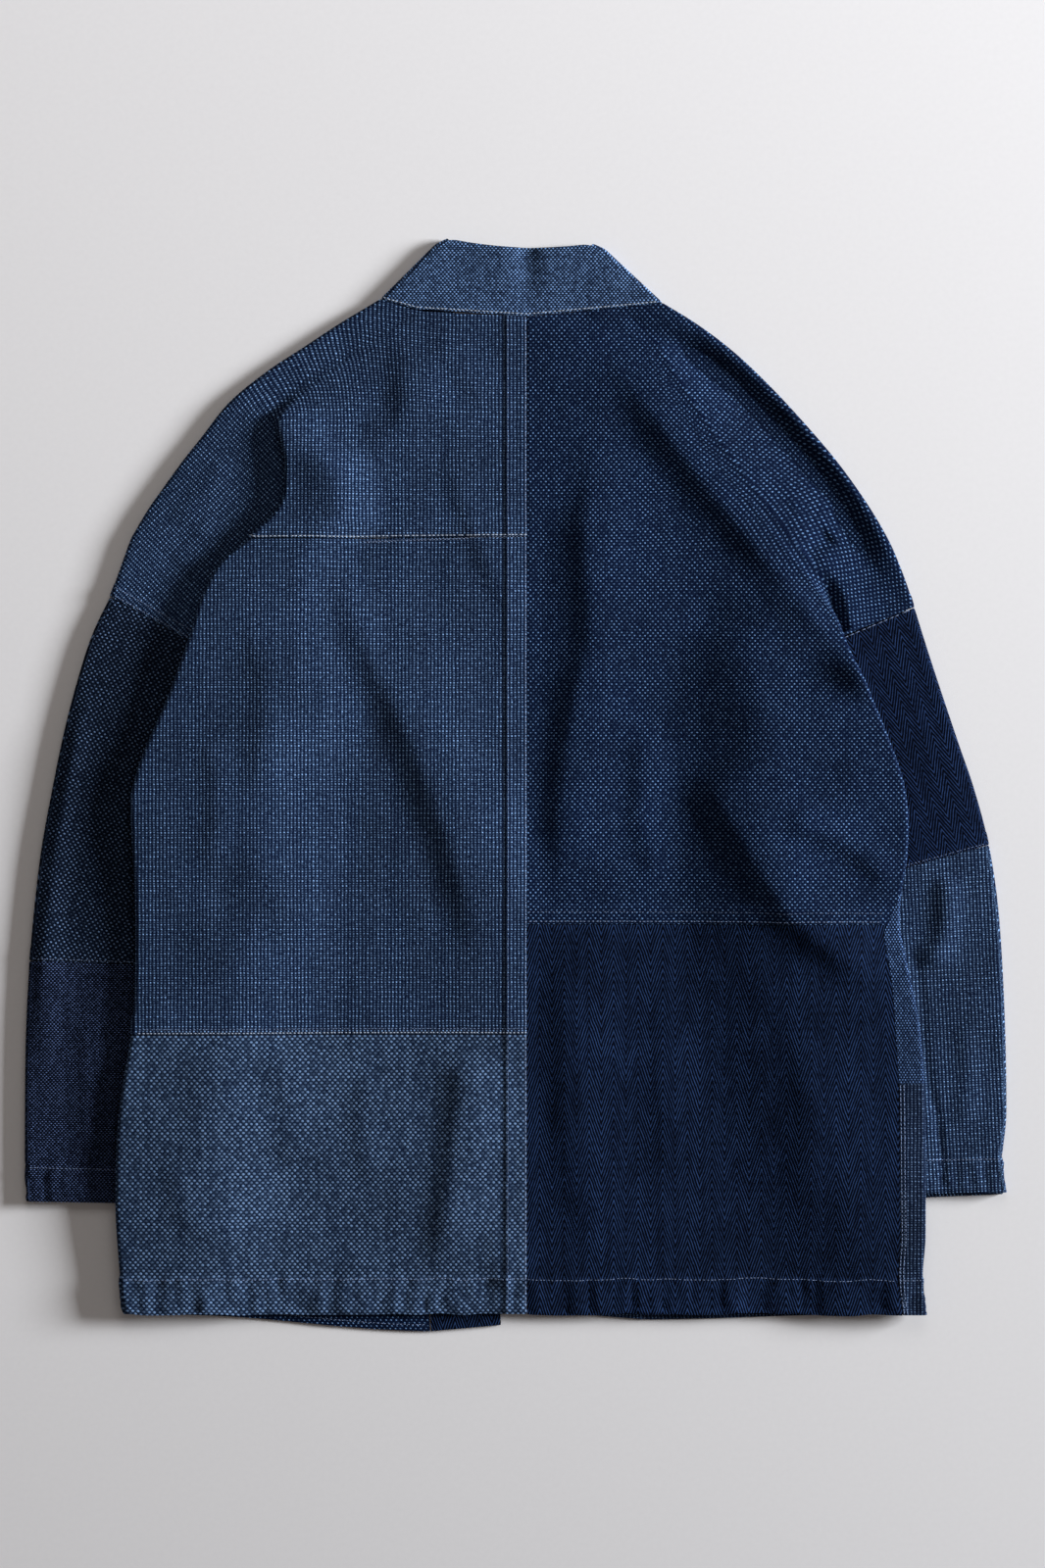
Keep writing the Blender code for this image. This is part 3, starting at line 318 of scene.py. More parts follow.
def curve(places, values):
    """A smooth curve through values at increasing places, as a function. It never overshoots."""
    places, values = np.asarray(places, float), np.asarray(values, float)
    step = np.diff(places)
    slope = np.diff(values) / step
    inner = (slope[:-1] * step[1:] + slope[1:] * step[:-1]) / (step[:-1] + step[1:])
    steepest = 3 * np.minimum(abs(slope[:-1]), abs(slope[1:]))
    inner = np.where(slope[:-1] * slope[1:] > 0, np.clip(inner, -steepest, steepest), 0)
    tangent = np.concatenate([slope[:1], inner, slope[-1:]])

    def at(place):
        place = np.clip(place, places[0], places[-1])
        i = np.clip(np.searchsorted(places, place, side="right") - 1, 0, len(step) - 1)
        t = (place - places[i]) / step[i]
        start = (1 + 2 * t) * (1 - t) ** 2 * values[i] + t * (1 - t) ** 2 * step[i] * tangent[i]
        end = t * t * (3 - 2 * t) * values[i + 1] - t * t * (1 - t) * step[i] * tangent[i + 1]
        return start + end

    return at


def column(table, name, by="y"):
    """A table's column as a smooth curve of another column, or of the row number."""
    places = range(len(table)) if by is None else [getattr(row, by) for row in table]
    values = [getattr(row, name) for row in table]
    if places[0] > places[-1]:
        places, values = places[::-1], values[::-1]
    return curve(places, values)


def soft_noise(x, y, size, seed):
    """Smooth noise from -1 to 1 with features of one size."""
    x = np.nan_to_num(x) / size + 37.3 * seed
    y = np.nan_to_num(y) / size + 11.9 * seed
    i, j = np.floor(x).astype(np.int64), np.floor(y).astype(np.int64)
    u, v = ease(x - i), ease(y - j)

    def knot(a, b):
        h = (a * 374761393 + b * 668265263 + seed * 974634777) & 0xFFFFFFFF
        h = ((h ^ (h >> 13)) * 1274126177) & 0xFFFFFFFF
        return ((h ^ (h >> 16)) & 0xFFFF) / 32767.5 - 1

    low = knot(i, j) * (1 - u) + knot(i + 1, j) * u
    high = knot(i, j + 1) * (1 - u) + knot(i + 1, j + 1) * u
    return low * (1 - v) + high * v


def ridge(fold, x, y):
    """Height that a fold adds at x, y. It dies away at both ends of its path."""
    path = np.array(fold.path, float)
    row = np.arange(len(path))
    fine = np.linspace(0, len(path) - 1, 6 * len(path))
    line = np.stack([curve(row, path[:, 0])(fine), curve(row, path[:, 1])(fine)], axis=1)
    nearest = np.full(np.shape(x), np.inf)
    across = np.zeros(np.shape(x))
    along = np.zeros(np.shape(x))
    for i, (start, end) in enumerate(zip(line[:-1], line[1:])):
        way = end - start
        share = ((x - start[0]) * way[0] + (y - start[1]) * way[1]) / (way @ way)
        share = np.clip(share, 0.0, 1.0)
        gone_x = x - start[0] - share * way[0]
        gone_y = y - start[1] - share * way[1]
        far = np.hypot(gone_x, gone_y)
        closer = far < nearest
        nearest = np.where(closer, far, nearest)
        across = np.where(closer, way[0] * gone_y - way[1] * gone_x, across)
        along = np.where(closer, (i + share) / (len(line) - 1), along)
    width = np.where(across > 0, fold.right, fold.left)
    fade = ease(along / 0.22) * ease((1 - along) / 0.22)
    return fold.height * np.exp(-((nearest / width) ** 2)) * fade


def side_lift(table, sign, x, y):
    """How far the tucked sleeve lifts the jacket, near one side."""
    inward = (column(table, "edge_x")(y) - x) * sign
    down = ease((inward - column(table, "flat")(y)) / column(table, "fall")(y))
    return np.where(y > table[0].y, 0.0, column(table, "lift")(y)) * (1 - down)


def lying(x, y):
    """Height of the back's middle before folds."""
    return LAID + side_lift(LEFT_SIDE, -1, x, y) + side_lift(RIGHT_SIDE, 1, x, y)


def small_waves(x, y):
    """The gentle unevenness of heavy cloth that has been washed and laid down."""
    return 0.55 * soft_noise(x, y, 46, 3) + 0.25 * soft_noise(x, y, 19, 5) + 0.09 * soft_noise(x, y, 8, 7)


def back_height(x, y):
    return lying(x, y) + small_waves(x, y) + sum(ridge(fold, x, y) for fold in FOLDS)


def front_height(x, y):
    return np.maximum(FLOOR_MID, lying(x, y) - 2 * TURN)


def edge_lift(inward):
    """How far the layers at a shoulder or sleeve edge stand off the surface."""
    return EDGE_LIFT * (1 - ease(inward / EDGE_REACH))


# Sections, many rows at once. Plans are rows x columns x 2 and heights rows x columns. Cloth places
# say where each point lies in the flat cloth, so that the weave follows it round the folds.

def lines(start, end, shares):
    """Points between start and end, a line for each row."""
    shares = np.broadcast_to(shares, (len(start), np.shape(shares)[-1]))[..., None]
    return start[:, None] * (1 - shares) + end[:, None] * shares


def steps(count):
    return np.linspace(0, 1, count + 1)[1:]


def moved(place, way, distance):
    """Place moved along way, by a distance for each column."""
    return place[:, None] + way[:, None] * distance[..., None]


def stack(*parts):
    return np.stack(np.broadcast_arrays(*parts), axis=-1).astype(float)


def main_shares(length, count, fell):
    """Where the columns across a back panel lie, as shares of its width."""
    if not fell:
        return np.broadcast_to(np.linspace(0, 1, count + 1), (len(length), count + 1))
    drop = FELL_WIDTH + FELL_STEP * np.array((0.0, 0.5, 1.0))
    strip = np.linspace(0, FELL_WIDTH - 1.2, FELL_COLUMNS - len(drop))
    rest = steps(count + 1 - FELL_COLUMNS)
    body = drop[-1] + (length[:, None] - drop[-1]) * rest
    first = np.broadcast_to(np.concatenate([strip, drop]), (len(length), FELL_COLUMNS))
    return np.concatenate([first, body], axis=1) / length[:, None]


def shoulder_grid(side, rows):
    """Sections from the centre seam over the pleat to the shoulder fold and round it."""
    table, counts = SIDES[side][1], FINE_SHOULDER
    rows = np.asarray(rows, float)
    at = {name: column(table, name, None)(rows) for name in Shoulder._fields}
    turn = np.radians(np.clip(at["turn"], 4, 180))
    radius = np.maximum(TURN, 6.0 / turn)
    depth = np.where(turn > 3.1, np.maximum(at["depth"], 1.0), 1.0)
    centre = stack(np.full(len(rows), CENTRE_X), at["centre_y"])
    fold = stack(at["fold_x"], at["fold_y"])
    out = stack(at["out_x"], at["out_y"])
    way, over = unit(fold - centre), unit(out - fold)
    reach = radius * np.sin(np.minimum(turn, np.pi / 2)) + CLOTH / 2
    start = fold - way * reach[:, None]
    free = back_height(start[:, 0], start[:, 1])
    firm = ease(turn / 1.1)
    drop = 2 * radius * (1 - np.cos(turn)) + depth * np.sin(turn)
    top = free * (1 - firm) + (LAID + drop) * firm

    length = np.linalg.norm(start - centre, axis=1)
    shares = main_shares(length, counts["main"], side == "left")
    main = lines(centre, start, shares)
    near = 1 - ease((1 - shares) * length[:, None] / PLEAT_REACH)
    main_height = back_height(main[..., 0], main[..., 1]) + (top - free)[:, None] * near
    hidden, hidden_height = pleat(start, way, over, top, turn, radius, depth)
    outer, outer_height = outer_grid(hidden[:, -1], hidden_height[:, -1], out, ease(rows / 2), 1 - firm)
    plan = np.concatenate([main, hidden, outer], axis=1)
    height = np.concatenate([main_height, hidden_height, outer_height], axis=1)
    grid = np.concatenate([plan, height[..., None]], axis=2)

    main_cloth, outer_cloth = fanned(side, main, False), fanned(side, outer, True)
    folded = grid[:, main.shape[1] - 1:main.shape[1] + hidden.shape[1]]
    length = np.cumsum(np.linalg.norm(np.diff(folded, axis=1), axis=2), axis=1)
    hidden_cloth = lines(main_cloth[:, -1], outer_cloth[:, 0], length / length[:, -1:] * 0.98)
    return grid, np.concatenate([main_cloth, hidden_cloth, outer_cloth], axis=1)


def pleat(start, way, over, top, turn, radius, depth):
    """The cloth that turns down over a pleat, runs in under it and turns back to lie flat."""
    top, turn, radius = top[:, None], turn[:, None], radius[:, None]
    bend = turn * steps(FINE_SHOULDER["turn"])
    down = moved(start, way, radius * np.sin(bend))
    down_height = top - radius * (1 - np.cos(bend))
    run = depth[:, None] * steps(FINE_SHOULDER["run"])
    under = moved(down[:, -1], over, run * np.cos(turn))
    under_height = down_height[:, -1:] - run * np.sin(turn)
    bend = turn * (1 - steps(FINE_SHOULDER["turn"]))
    back = moved(under[:, -1], over, radius * (np.sin(turn) - np.sin(bend)))
    back_level = under_height[:, -1:] - radius * (np.cos(bend) - np.cos(turn))
    plan = np.concatenate([down, under, back], axis=1)
    return plan, np.concatenate([down_height, under_height, back_level], axis=1)


def rotated(away, angle):
    cos, sin = np.cos(angle), np.sin(angle)
    return stack(away[..., 0] * cos - away[..., 1] * sin, away[..., 0] * sin + away[..., 1] * cos)


def fanned(side, plan, outside):
    """Cloth places of a shoulder, where the weave fans out about the end of the pleat."""
    sign, fan = SIDES[side][0], FANS[side]
    away = plan - np.array((fan.x, fan.y))
    far = np.hypot(away[..., 0], away[..., 1])
    turn = np.degrees(np.arctan2(away[..., 1], -sign * away[..., 0]))
    if outside:
        turn = np.where(turn < FAN_WRAP, turn + 360, turn)
    share = ease((turn - FAN_FROM) / FAN_SPAN) * (turn > FAN_FROM)
    near = 1 - ease((far - FAN_WHOLE) / FAN_FADE) * (1 - ease((turn - FAN_BACK) / FAN_BACK_SPAN))
    return np.array((fan.x, fan.y)) + rotated(away, sign * np.radians(fan.angle) * share * near)


def outer_grid(place, level, out, lift, loose):
    """From the pleat, or from an inner edge, out to the shoulder fold and round it. loose is 1 where
    there is no pleat yet, so that the folds run on from the middle."""
    width = np.linalg.norm(out - place, axis=1)
    way = unit(out - place)
    end = out - way * (TURN + CLOTH / 2)
    shares = steps(FINE_SHOULDER["outer"])
    plan = lines(place, end, shares)
    inward = np.linalg.norm(end[:, None] - plan, axis=2)
    settle = 1 - ease(shares * width[:, None] / OUTER_SETTLE)
    lift = np.broadcast_to(lift, width.shape)[:, None]
    folds, start = outer_folds(plan, place, width, np.broadcast_to(loose, width.shape))
    step = (level - LAID - start)[:, None] - lift * edge_lift(width)[:, None]
    height = LAID + lift * edge_lift(inward) + step * settle + folds
    angle = np.pi * steps(FINE_SHOULDER["edge"] - 1)
    turned = moved(end, way, np.broadcast_to(TURN * np.sin(angle), (len(end), len(angle))))
    turned_height = height[:, -1:] - TURN * (1 - np.cos(angle))
    last = (end - way * HEM_RUN)[:, None]
    plans = np.concatenate([plan, turned, last], axis=1)
    return plans, np.concatenate([height, turned_height, turned_height[:, -1:]], axis=1)


def outer_folds(plan, place, width, loose):
    """Folds on the shoulder outside the pleat, and their height at the pleat itself."""
    def height(x, y):
        return small_waves(x, y) * 0.7 + sum(ridge(fold, x, y) for fold in FOLDS)

    far = np.linalg.norm(plan - place[:, None], axis=2)
    begin = loose[:, None] + (1 - loose[:, None]) * ease(far / 12.0)
    fade = begin * ease((width[:, None] - TURN - CLOTH - far) / 6.0)
    return fade * height(plan[..., 0], plan[..., 1]), loose * height(place[:, 0], place[:, 1])


def fold_path(start, sign, along, y):
    """Points at distances along the cloth: on the back where negative, then round the side fold."""
    along = np.broadcast_to(along, (len(start), np.shape(along)[-1]))
    flat_x = start[:, None] + sign * np.minimum(along, 0)
    angle = np.maximum(along, 0) / TURN
    height = back_height(flat_x, y[:, None]) - TURN * (1 - np.cos(angle))
    return stack(flat_x + sign * TURN * np.sin(angle), y[:, None], height)


def side_grid(side, ys, tilt=0.0):
    """Sections below the underarm: the back from the centre seam with its cloth places, and the front
    from the side seam to the under side of the fold. tilt slopes the back along a cross seam."""
    sign, _, table = SIDES[side][:3]
    counts = FINE_SIDE
    ys = np.asarray(ys, float)
    start = column(table, "edge_x")(ys) - sign * (TURN + CLOTH / 2)
    turned = np.zeros(len(ys)) if side == "left" else column(RIGHT_SEAM, "turned")(ys)
    half = np.pi * TURN / 2
    seam = half - turned
    stop = start + sign * np.minimum(0.0, seam - half)
    shares = main_shares(abs(stop - CENTRE_X), counts["main"], side == "left")
    x = CENTRE_X + (stop - CENTRE_X)[:, None] * shares
    y = ys[:, None] + np.broadcast_to(tilt, ys.shape)[:, None] * (1 - shares)
    back = [stack(x, y, back_height(x, y))]
    if side == "right":
        first = np.minimum(0.0, seam - half)
        count = counts["turn"] + counts["run"]
        back.append(fold_path(start, sign, first[:, None] + (seam - first)[:, None] * steps(count), ys))
        bend = np.maximum(seam + 0.8, 0.0)[:, None]
        strip = seam[:, None] + (bend - seam[:, None]) * np.linspace(0, 1, STRIP_COUNT + 1)[:-1]
        around = bend + (2 * half - bend) * np.linspace(0, 1, LEAD_COUNT - STRIP_COUNT)
        lead = np.concatenate([strip, around], axis=1)
        front = fold_path(start, sign, lead, ys)
        front_cloth = stack(start[:, None] + sign * lead, np.broadcast_to(ys[:, None], lead.shape))
    else:
        turn = fold_path(start, sign, 2 * half * steps(counts["turn"]), ys)
        run_x = start[:, None] - sign * UNDER_RUN * steps(counts["run"])
        run_z = front_height(run_x, ys[:, None]) + turn[:, -1:, 2] - front_height(start, ys)[:, None]
        under = stack(run_x, ys[:, None], run_z)
        back += [turn, under]
        front = under[:, -1:]
        front_cloth = stack(front[..., 0], front[..., 1])
    grid = np.concatenate(back, axis=1)
    rest = np.linalg.norm(np.diff(grid[:, shares.shape[1] - 1:], axis=1), axis=2)
    past = x[:, -1:] + sign * np.cumsum(rest, axis=1)
    cloth_x = np.concatenate([x, past], axis=1)
    cloth_y = np.concatenate([y, np.broadcast_to(ys[:, None], past.shape)], axis=1)
    return grid, stack(cloth_x, cloth_y), front, front_cloth


# Walls

FACES = {}           # outer face of each piece, for what is sewn on it


def inset_rows(points, first, last, gap=SEAM_GAP / 2):
    """Draws the first or last row of a grid back from a seam."""
    points = points.copy()
    for use, row, inner in ((first, 0, 1), (last, -1, -2)):
        if use:
            points[row] += unit(points[inner] - points[row]) * gap
    return points


def inset_columns(points, first, last, gap=SEAM_GAP / 2):
    return inset_rows(points.transpose(1, 0, 2), first, last, gap).transpose(1, 0, 2)


def gone(grid, axis, from_end=False):
    """Distance of each point from the grid's first row (axis 0) or column (axis 1), or the last."""
    step = np.nan_to_num(np.linalg.norm(np.diff(grid, axis=axis), axis=2))
    if from_end:
        step = np.flip(step, axis)
    total = np.cumsum(step, axis=axis)
    pad = np.zeros_like(np.take(total, [0], axis=axis))
    total = np.concatenate([pad, total], axis=axis)
    return np.flip(total, axis) if from_end else total


def felled(distance, width, height, soft=1.0):
    """Extra thickness of a felled or hemmed strip that starts at a seam."""
    return height * (1 - ease((distance - width) / soft))


def rolled(distance, depth=0.4, reach=1.4):
    """The face rolls down into a seam or over a cut edge."""
    return -depth * (1 - ease(distance / reach))


def grid_quads(there, ring):
    """The cells of a grid that have all four corners. A ring joins its last column to its first."""
    number = np.arange(there.size).reshape(there.shape)
    if ring:
        columns = [*range(there.shape[1]), 0]
        number, there = number[:, columns], there[:, columns]
    whole = there[:-1, :-1] & there[1:, :-1] & there[1:, 1:] & there[:-1, 1:]
    corners = number[:-1, :-1], number[1:, :-1], number[1:, 1:], number[:-1, 1:]
    return np.stack(corners, axis=-1)[whole]


def grid_normals(flat, quads, seen):
    """Unit normals of the points, turned so that the point called seen faces up."""
    corners = flat[quads]
    face_normals = np.cross(corners[:, 2] - corners[:, 0], corners[:, 3] - corners[:, 1])
    normals = np.zeros_like(flat)
    for corner in range(4):
        np.add.at(normals, quads[:, corner], face_normals)
    normals = unit(normals)
    return -normals if normals[seen, 2] < 0 else normals


def wall_faces(quads, count):
    """The faces of both sides and of the rim, where the inner points follow the outer ones."""
    pairs = np.concatenate([quads[:, [i, (i + 1) % 4]] for i in range(4)])
    keys = np.sort(pairs, axis=1) @ np.array((count, 1))
    _, first, uses = np.unique(keys, return_index=True, return_counts=True)
    rim = pairs[first[uses == 1]]
    rims = np.stack([rim[:, 1], rim[:, 0], rim[:, 0] + count, rim[:, 1] + count], axis=1)
    return np.concatenate([quads, quads[:, ::-1] + count, rims])


def wall(name, material, points, cloth, thickness=CLOTH, raised=0.0, ring=False, wear=0.0):
    """A closed wall of cloth about a grid of middle points. Missing points are NaN. raised adds to
    its outer face."""
    rows, columns = points.shape[:2]
    there = ~np.isnan(points[:, :, 0])
    flat = np.nan_to_num(points.reshape(-1, 3))
    quads = grid_quads(there, ring)
    normals = grid_normals(flat, quads, columns * 2 + 5 if ring else quads[len(quads) // 20, 0])
    raised = np.broadcast_to(raised, (rows, columns)).reshape(-1, 1)
    outer = flat + normals * (thickness / 2 + raised)
    inner = flat - normals * (thickness / 2)
    outer[:, 2] = np.maximum(outer[:, 2], 0.0)
    inner[:, 2] = np.maximum(inner[:, 2], 0.0)
    FACES[name] = (np.where(there.reshape(-1, 1), outer, np.nan).reshape(rows, columns, 3),
                   normals.reshape(rows, columns, 3))

    used = np.unique(quads)
    count = len(used)
    place = np.full(len(flat), -1)
    place[used] = np.arange(count)
    points = np.concatenate([outer[used], inner[used]]) * MM
    mesh = bpy.data.meshes.new(name)
    mesh.from_pydata(points.tolist(), [], wall_faces(place[quads], count).tolist())
    if signed_volume(mesh) < 0:
        mesh.flip_normals()
    mesh.shade_smooth()
    mesh.set_sharp_from_angle(angle=0.9)
    corner_vertex = np.empty(len(mesh.loops), np.int32)
    mesh.loops.foreach_get("vertex_index", corner_vertex)
    flat_cloth = np.nan_to_num(cloth.reshape(-1, 2))[used] * MM
    uv = mesh.uv_layers.new(name="Cloth")
    uv.data.foreach_set("uv", flat_cloth[corner_vertex % count].ravel())
    layer = mesh.attributes.new("wear", "FLOAT", "POINT")
    worn = np.broadcast_to(wear, (rows, columns)).reshape(-1)[used]
    layer.data.foreach_set("value", np.tile(worn, 2).astype(np.float32))
    return linked(name, mesh, material)


def linked(name, mesh, material):
    """An object of this mesh and material, in the scene."""
    mesh.materials.append(material)
    made = bpy.data.objects.new(name, mesh)
    bpy.context.scene.collection.objects.link(made)
    return made


def signed_volume(mesh):
    mesh.calc_loop_triangles()
    spots = np.empty(len(mesh.vertices) * 3)
    mesh.vertices.foreach_get("co", spots)
    spots = spots.reshape(-1, 3)
    triangles = np.empty(len(mesh.loop_triangles) * 3, np.int32)
    mesh.loop_triangles.foreach_get("vertices", triangles)
    corners = spots[triangles.reshape(-1, 3)]
    return np.einsum("ij,ij->i", corners[:, 0], np.cross(corners[:, 1], corners[:, 2])).sum()


def near_edges(*distances):
    """How close the cloth is to its seams and edges, where it wears most."""
    return np.max([1 - ease(distance / WORN_REACH) for distance in distances], axis=0)


def piece(node, kind, flat, points, cloth, area=None, **how):
    """One cut piece of a kind of cloth, in place of the CAD part that it stands for."""
    made = wall(node + "_cloth", kind.material, points, cloth, **how)
    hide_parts(node)
    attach(made, "root")


# Materials

def linear(r, g, b):
    """A display colour, 0 to 255, as linear light."""
    return tuple((c / 255 / 12.92 if c <= 10 else ((c / 255 + 0.055) / 1.055) ** 2.4) for c in (r, g, b))


class Nodes:
    """A short way to write a material's nodes."""

    def __init__(self, material):
        material.use_nodes = True
        self.tree = material.node_tree
        self.shader = self.tree.nodes["Principled BSDF"]

    def add(self, kind, **values):
        node = self.tree.nodes.new(kind)
        for key, value in values.items():
            setattr(node, key, value)
        return node

    def join(self, source, target):
        self.tree.links.new(source, target)

    def math(self, operation, *parts, clamp=False):
        node = self.add("ShaderNodeMath", operation=operation, use_clamp=clamp)
        for socket, part in zip(node.inputs, parts):
            if isinstance(part, (int, float)):
                socket.default_value = part
            else:
                self.join(part, socket)
        return node.outputs[0]

    def smooth(self, value, low, high):
        node = self.add("ShaderNodeMapRange", interpolation_type="SMOOTHSTEP")
        self.join(value, node.inputs["Value"])
        node.inputs["From Min"].default_value = low
        node.inputs["From Max"].default_value = high
        return node.outputs["Result"]

    def noise(self, vector, scale, detail=2.0, roughness=0.5):
        node = self.add("ShaderNodeTexNoise")
        node.inputs["Scale"].default_value = scale
        node.inputs["Detail"].default_value = detail
        node.inputs["Roughness"].default_value = roughness
        self.join(vector, node.inputs["Vector"])
        return node.outputs["Fac"]

    def stretched(self, vector, x, y):
        node = self.add("ShaderNodeVectorMath", operation="MULTIPLY")
        self.join(vector, node.inputs[0])
        node.inputs[1].default_value = (x, y, 1)
        return node.outputs[0]

    def mix(self, share, low, high, blend="MIX"):
        node = self.add("ShaderNodeMix", data_type="RGBA", blend_type=blend)
        for socket, part in zip((node.inputs["Factor"], node.inputs[6], node.inputs[7]), (share, low, high)):
            if isinstance(part, tuple):
                socket.default_value = (*part, 1)
            elif isinstance(part, float):
                socket.default_value = part
            else:
                self.join(part, socket)
        return node.outputs[2]

    def chance(self, column, row):
        """A random value for each cell of a grid."""
        pair = self.add("ShaderNodeCombineXYZ")
        self.join(column, pair.inputs[0])
        self.join(row, pair.inputs[1])
        noise = self.add("ShaderNodeTexWhiteNoise", noise_dimensions="2D")
        self.join(pair.outputs[0], noise.inputs["Vector"])
        return noise.outputs["Value"]

    def split(self, vector):
        parts = self.add("ShaderNodeSeparateXYZ")
        self.join(vector, parts.inputs[0])
        return parts.outputs[0], parts.outputs[1]

    def position(self):
        return self.add("ShaderNodeNewGeometry").outputs["Position"]


def cell(n, u, v, across, along, stagger):
    """Place within one repeat of a weave, from -0.5 to 0.5 both ways, and a random value for it."""
    up = n.math("DIVIDE", v, along * MM)
    row = n.math("ROUND", up)
    side = n.math("MULTIPLY_ADD", n.math("MODULO", row, 2.0), stagger, n.math("DIVIDE", u, across * MM))
    number = n.math("ROUND", side)
    return n.math("SUBTRACT", side, number), n.math("SUBTRACT", up, row), n.chance(number, row)


GRID_REPEAT = (2.745, 3.69)      # of the knotted grid, across and along


def grid_weave(n, u, v):
    """Columns of pale knots, every other row of them fainter, on dark squares."""
    du, dv, chance = cell(n, u, v, *GRID_REPEAT, 0.0)
    far = n.math("ABSOLUTE", dv)
    column_share = n.math("SUBTRACT", 1.0, n.smooth(n.math("ABSOLUTE", du), 0.0, 0.34))
    knot = n.math("SUBTRACT", 1.0, n.smooth(far, 0.0, 0.2))
    faint = n.smooth(far, 0.36, 0.5)
    shine = n.math("MULTIPLY", knot, n.math("MULTIPLY_ADD", chance, 1.5, 0.2))
    shine = n.math("ADD", shine, n.math("MULTIPLY", faint, n.math("MULTIPLY_ADD", chance, -0.5, 0.8)))
    return n.math("MULTIPLY", column_share, n.math("ADD", shine, 0.08))


def dashed(in_row, row_step, half_length, half_width, ground=0.0):
    """Staggered rows of short dashes. The half sizes are shares of a repeat."""
    def square(n, value, half):
        return n.math("POWER", n.math("ABSOLUTE", n.math("DIVIDE", value, half)), 2.0)

    def weave(n, u, v):
        du, dv, chance = cell(n, u, v, in_row, row_step, 0.5)
        shift = n.math("MULTIPLY_ADD", chance, 0.12, -0.06)
        long = square(n, n.math("ADD", du, shift), half_length)
        wide = square(n, dv, half_width)
        dash = n.math("SUBTRACT", 1.0, n.smooth(n.math("ADD", long, wide), 0.0, 1.9))
        shine = n.math("MULTIPLY_ADD", chance, 1.3, 0.35)
        return n.math("MULTIPLY_ADD", dash, n.math("MULTIPLY", shine, 1 - ground), ground)
    return weave


def herringbone(column, slope_u, slope_v):
    """Diagonal ribs that change direction every few threads. The slopes are ribs per millimetre."""
    def weave(n, u, v):
        zigzag = n.math("PINGPONG", u, column * MM)
        along = n.math("MULTIPLY", v, slope_v / MM)
        rib = n.math("MULTIPLY_ADD", zigzag, slope_u / MM, along)
        wave = n.math("COSINE", n.math("MULTIPLY", rib, math.tau))
        band = n.math("ROUND", n.math("DIVIDE", u, column * MM))
        shine = n.math("MULTIPLY_ADD", n.chance(n.math("ROUND", rib), band), 0.5, 0.65)
        return n.math("MULTIPLY", n.smooth(wave, -0.05, 1.0), shine)
    return weave


Cloth = namedtuple("Cloth", "material slot")
THREAD_HEIGHT = 0.35     # of the weave, as bump
WORN_SHARE = 0.25        # how much paler worn cloth is
WOBBLE = 1.1             # how far threads stray from their line, in millimetres


def wobbled(n, uv):
    """Cloth places that stray a little, so that no thread runs quite straight."""
    wobble = n.add("ShaderNodeTexNoise")
    wobble.inputs["Scale"].default_value = 90
    wobble.inputs["Detail"].default_value = 1
    n.join(uv, wobble.inputs["Vector"])
    push = n.add("ShaderNodeVectorMath", operation="MULTIPLY_ADD")
    n.join(wobble.outputs["Color"], push.inputs[0])
    push.inputs[1].default_value = (WOBBLE * MM, WOBBLE * MM, 0)
    n.join(uv, push.inputs[2])
    return push.outputs[0]


def thread_share(n, uv, pattern):
    """How much of the pale thread shows: less where the dye is uneven, more where it is worn."""
    uneven = n.smooth(n.noise(uv, 260, 3, 0.65), 0.3, 0.72)
    streak = n.noise(n.stretched(uv, 170, 7), 1.0, 3)
    bright = n.math("MULTIPLY_ADD", uneven, 0.8, 0.5)
    bright = n.math("MULTIPLY", bright, n.math("MULTIPLY_ADD", streak, 1.4, 0.3))
    wear = n.add("ShaderNodeAttribute", attribute_name="wear").outputs["Fac"]
    bright = n.math("ADD", bright, n.math("MULTIPLY", wear, WORN_SHARE))
    speckle = n.math("MULTIPLY_ADD", n.noise(n.stretched(uv, 1500, 620), 1.0, 2), 0.42, -0.2)
    return n.math("MULTIPLY_ADD", pattern, bright, speckle, clamp=True)


def cloth(name, slot, ground, thread, weave):
    """A heavy indigo cotton: a woven pattern of paler thread on a dark ground, unevenly faded."""
    material = bpy.data.materials.new(name)
    n = Nodes(material)
    uv = n.add("ShaderNodeUVMap", uv_map="Cloth").outputs[0]
    pattern = weave(n, *n.split(wobbled(n, uv)))
    colour = n.mix(thread_share(n, uv, pattern), linear(*ground), linear(*thread))
    shade = n.math("MULTIPLY_ADD", n.noise(uv, 13, 3, 0.6), 1.0, 0.5)
    n.join(n.mix(1.0, colour, shade, "MULTIPLY"), n.shader.inputs["Base Color"])

    bump = n.add("ShaderNodeBump")
    bump.inputs["Strength"].default_value = 0.6
    bump.inputs["Distance"].default_value = THREAD_HEIGHT * MM
    n.join(n.math("MULTIPLY_ADD", n.noise(uv, 1500, 2), 0.8, pattern), bump.inputs["Height"])
    n.join(bump.outputs[0], n.shader.inputs["Normal"])
    n.shader.inputs["Roughness"].default_value = 0.9
    n.shader.inputs["Specular IOR Level"].default_value = 0.04
    n.shader.inputs["Sheen Weight"].default_value = 0.012
    n.shader.inputs["Sheen Roughness"].default_value = 0.5
    n.shader.inputs["Sheen Tint"].default_value = (0.6, 0.7, 0.9, 1)
    return Cloth(material, slot)


def thread(name, colour):
    """Sewing thread, slightly uneven in tone."""
    material = bpy.data.materials.new(name)
    n = Nodes(material)
    shade = n.math("MULTIPLY_ADD", n.noise(n.position(), 900, 2), 0.5, 0.75)
    n.join(n.mix(1.0, linear(*colour), shade, "MULTIPLY"), n.shader.inputs["Base Color"])
    n.shader.inputs["Roughness"].default_value = 0.8
    return material


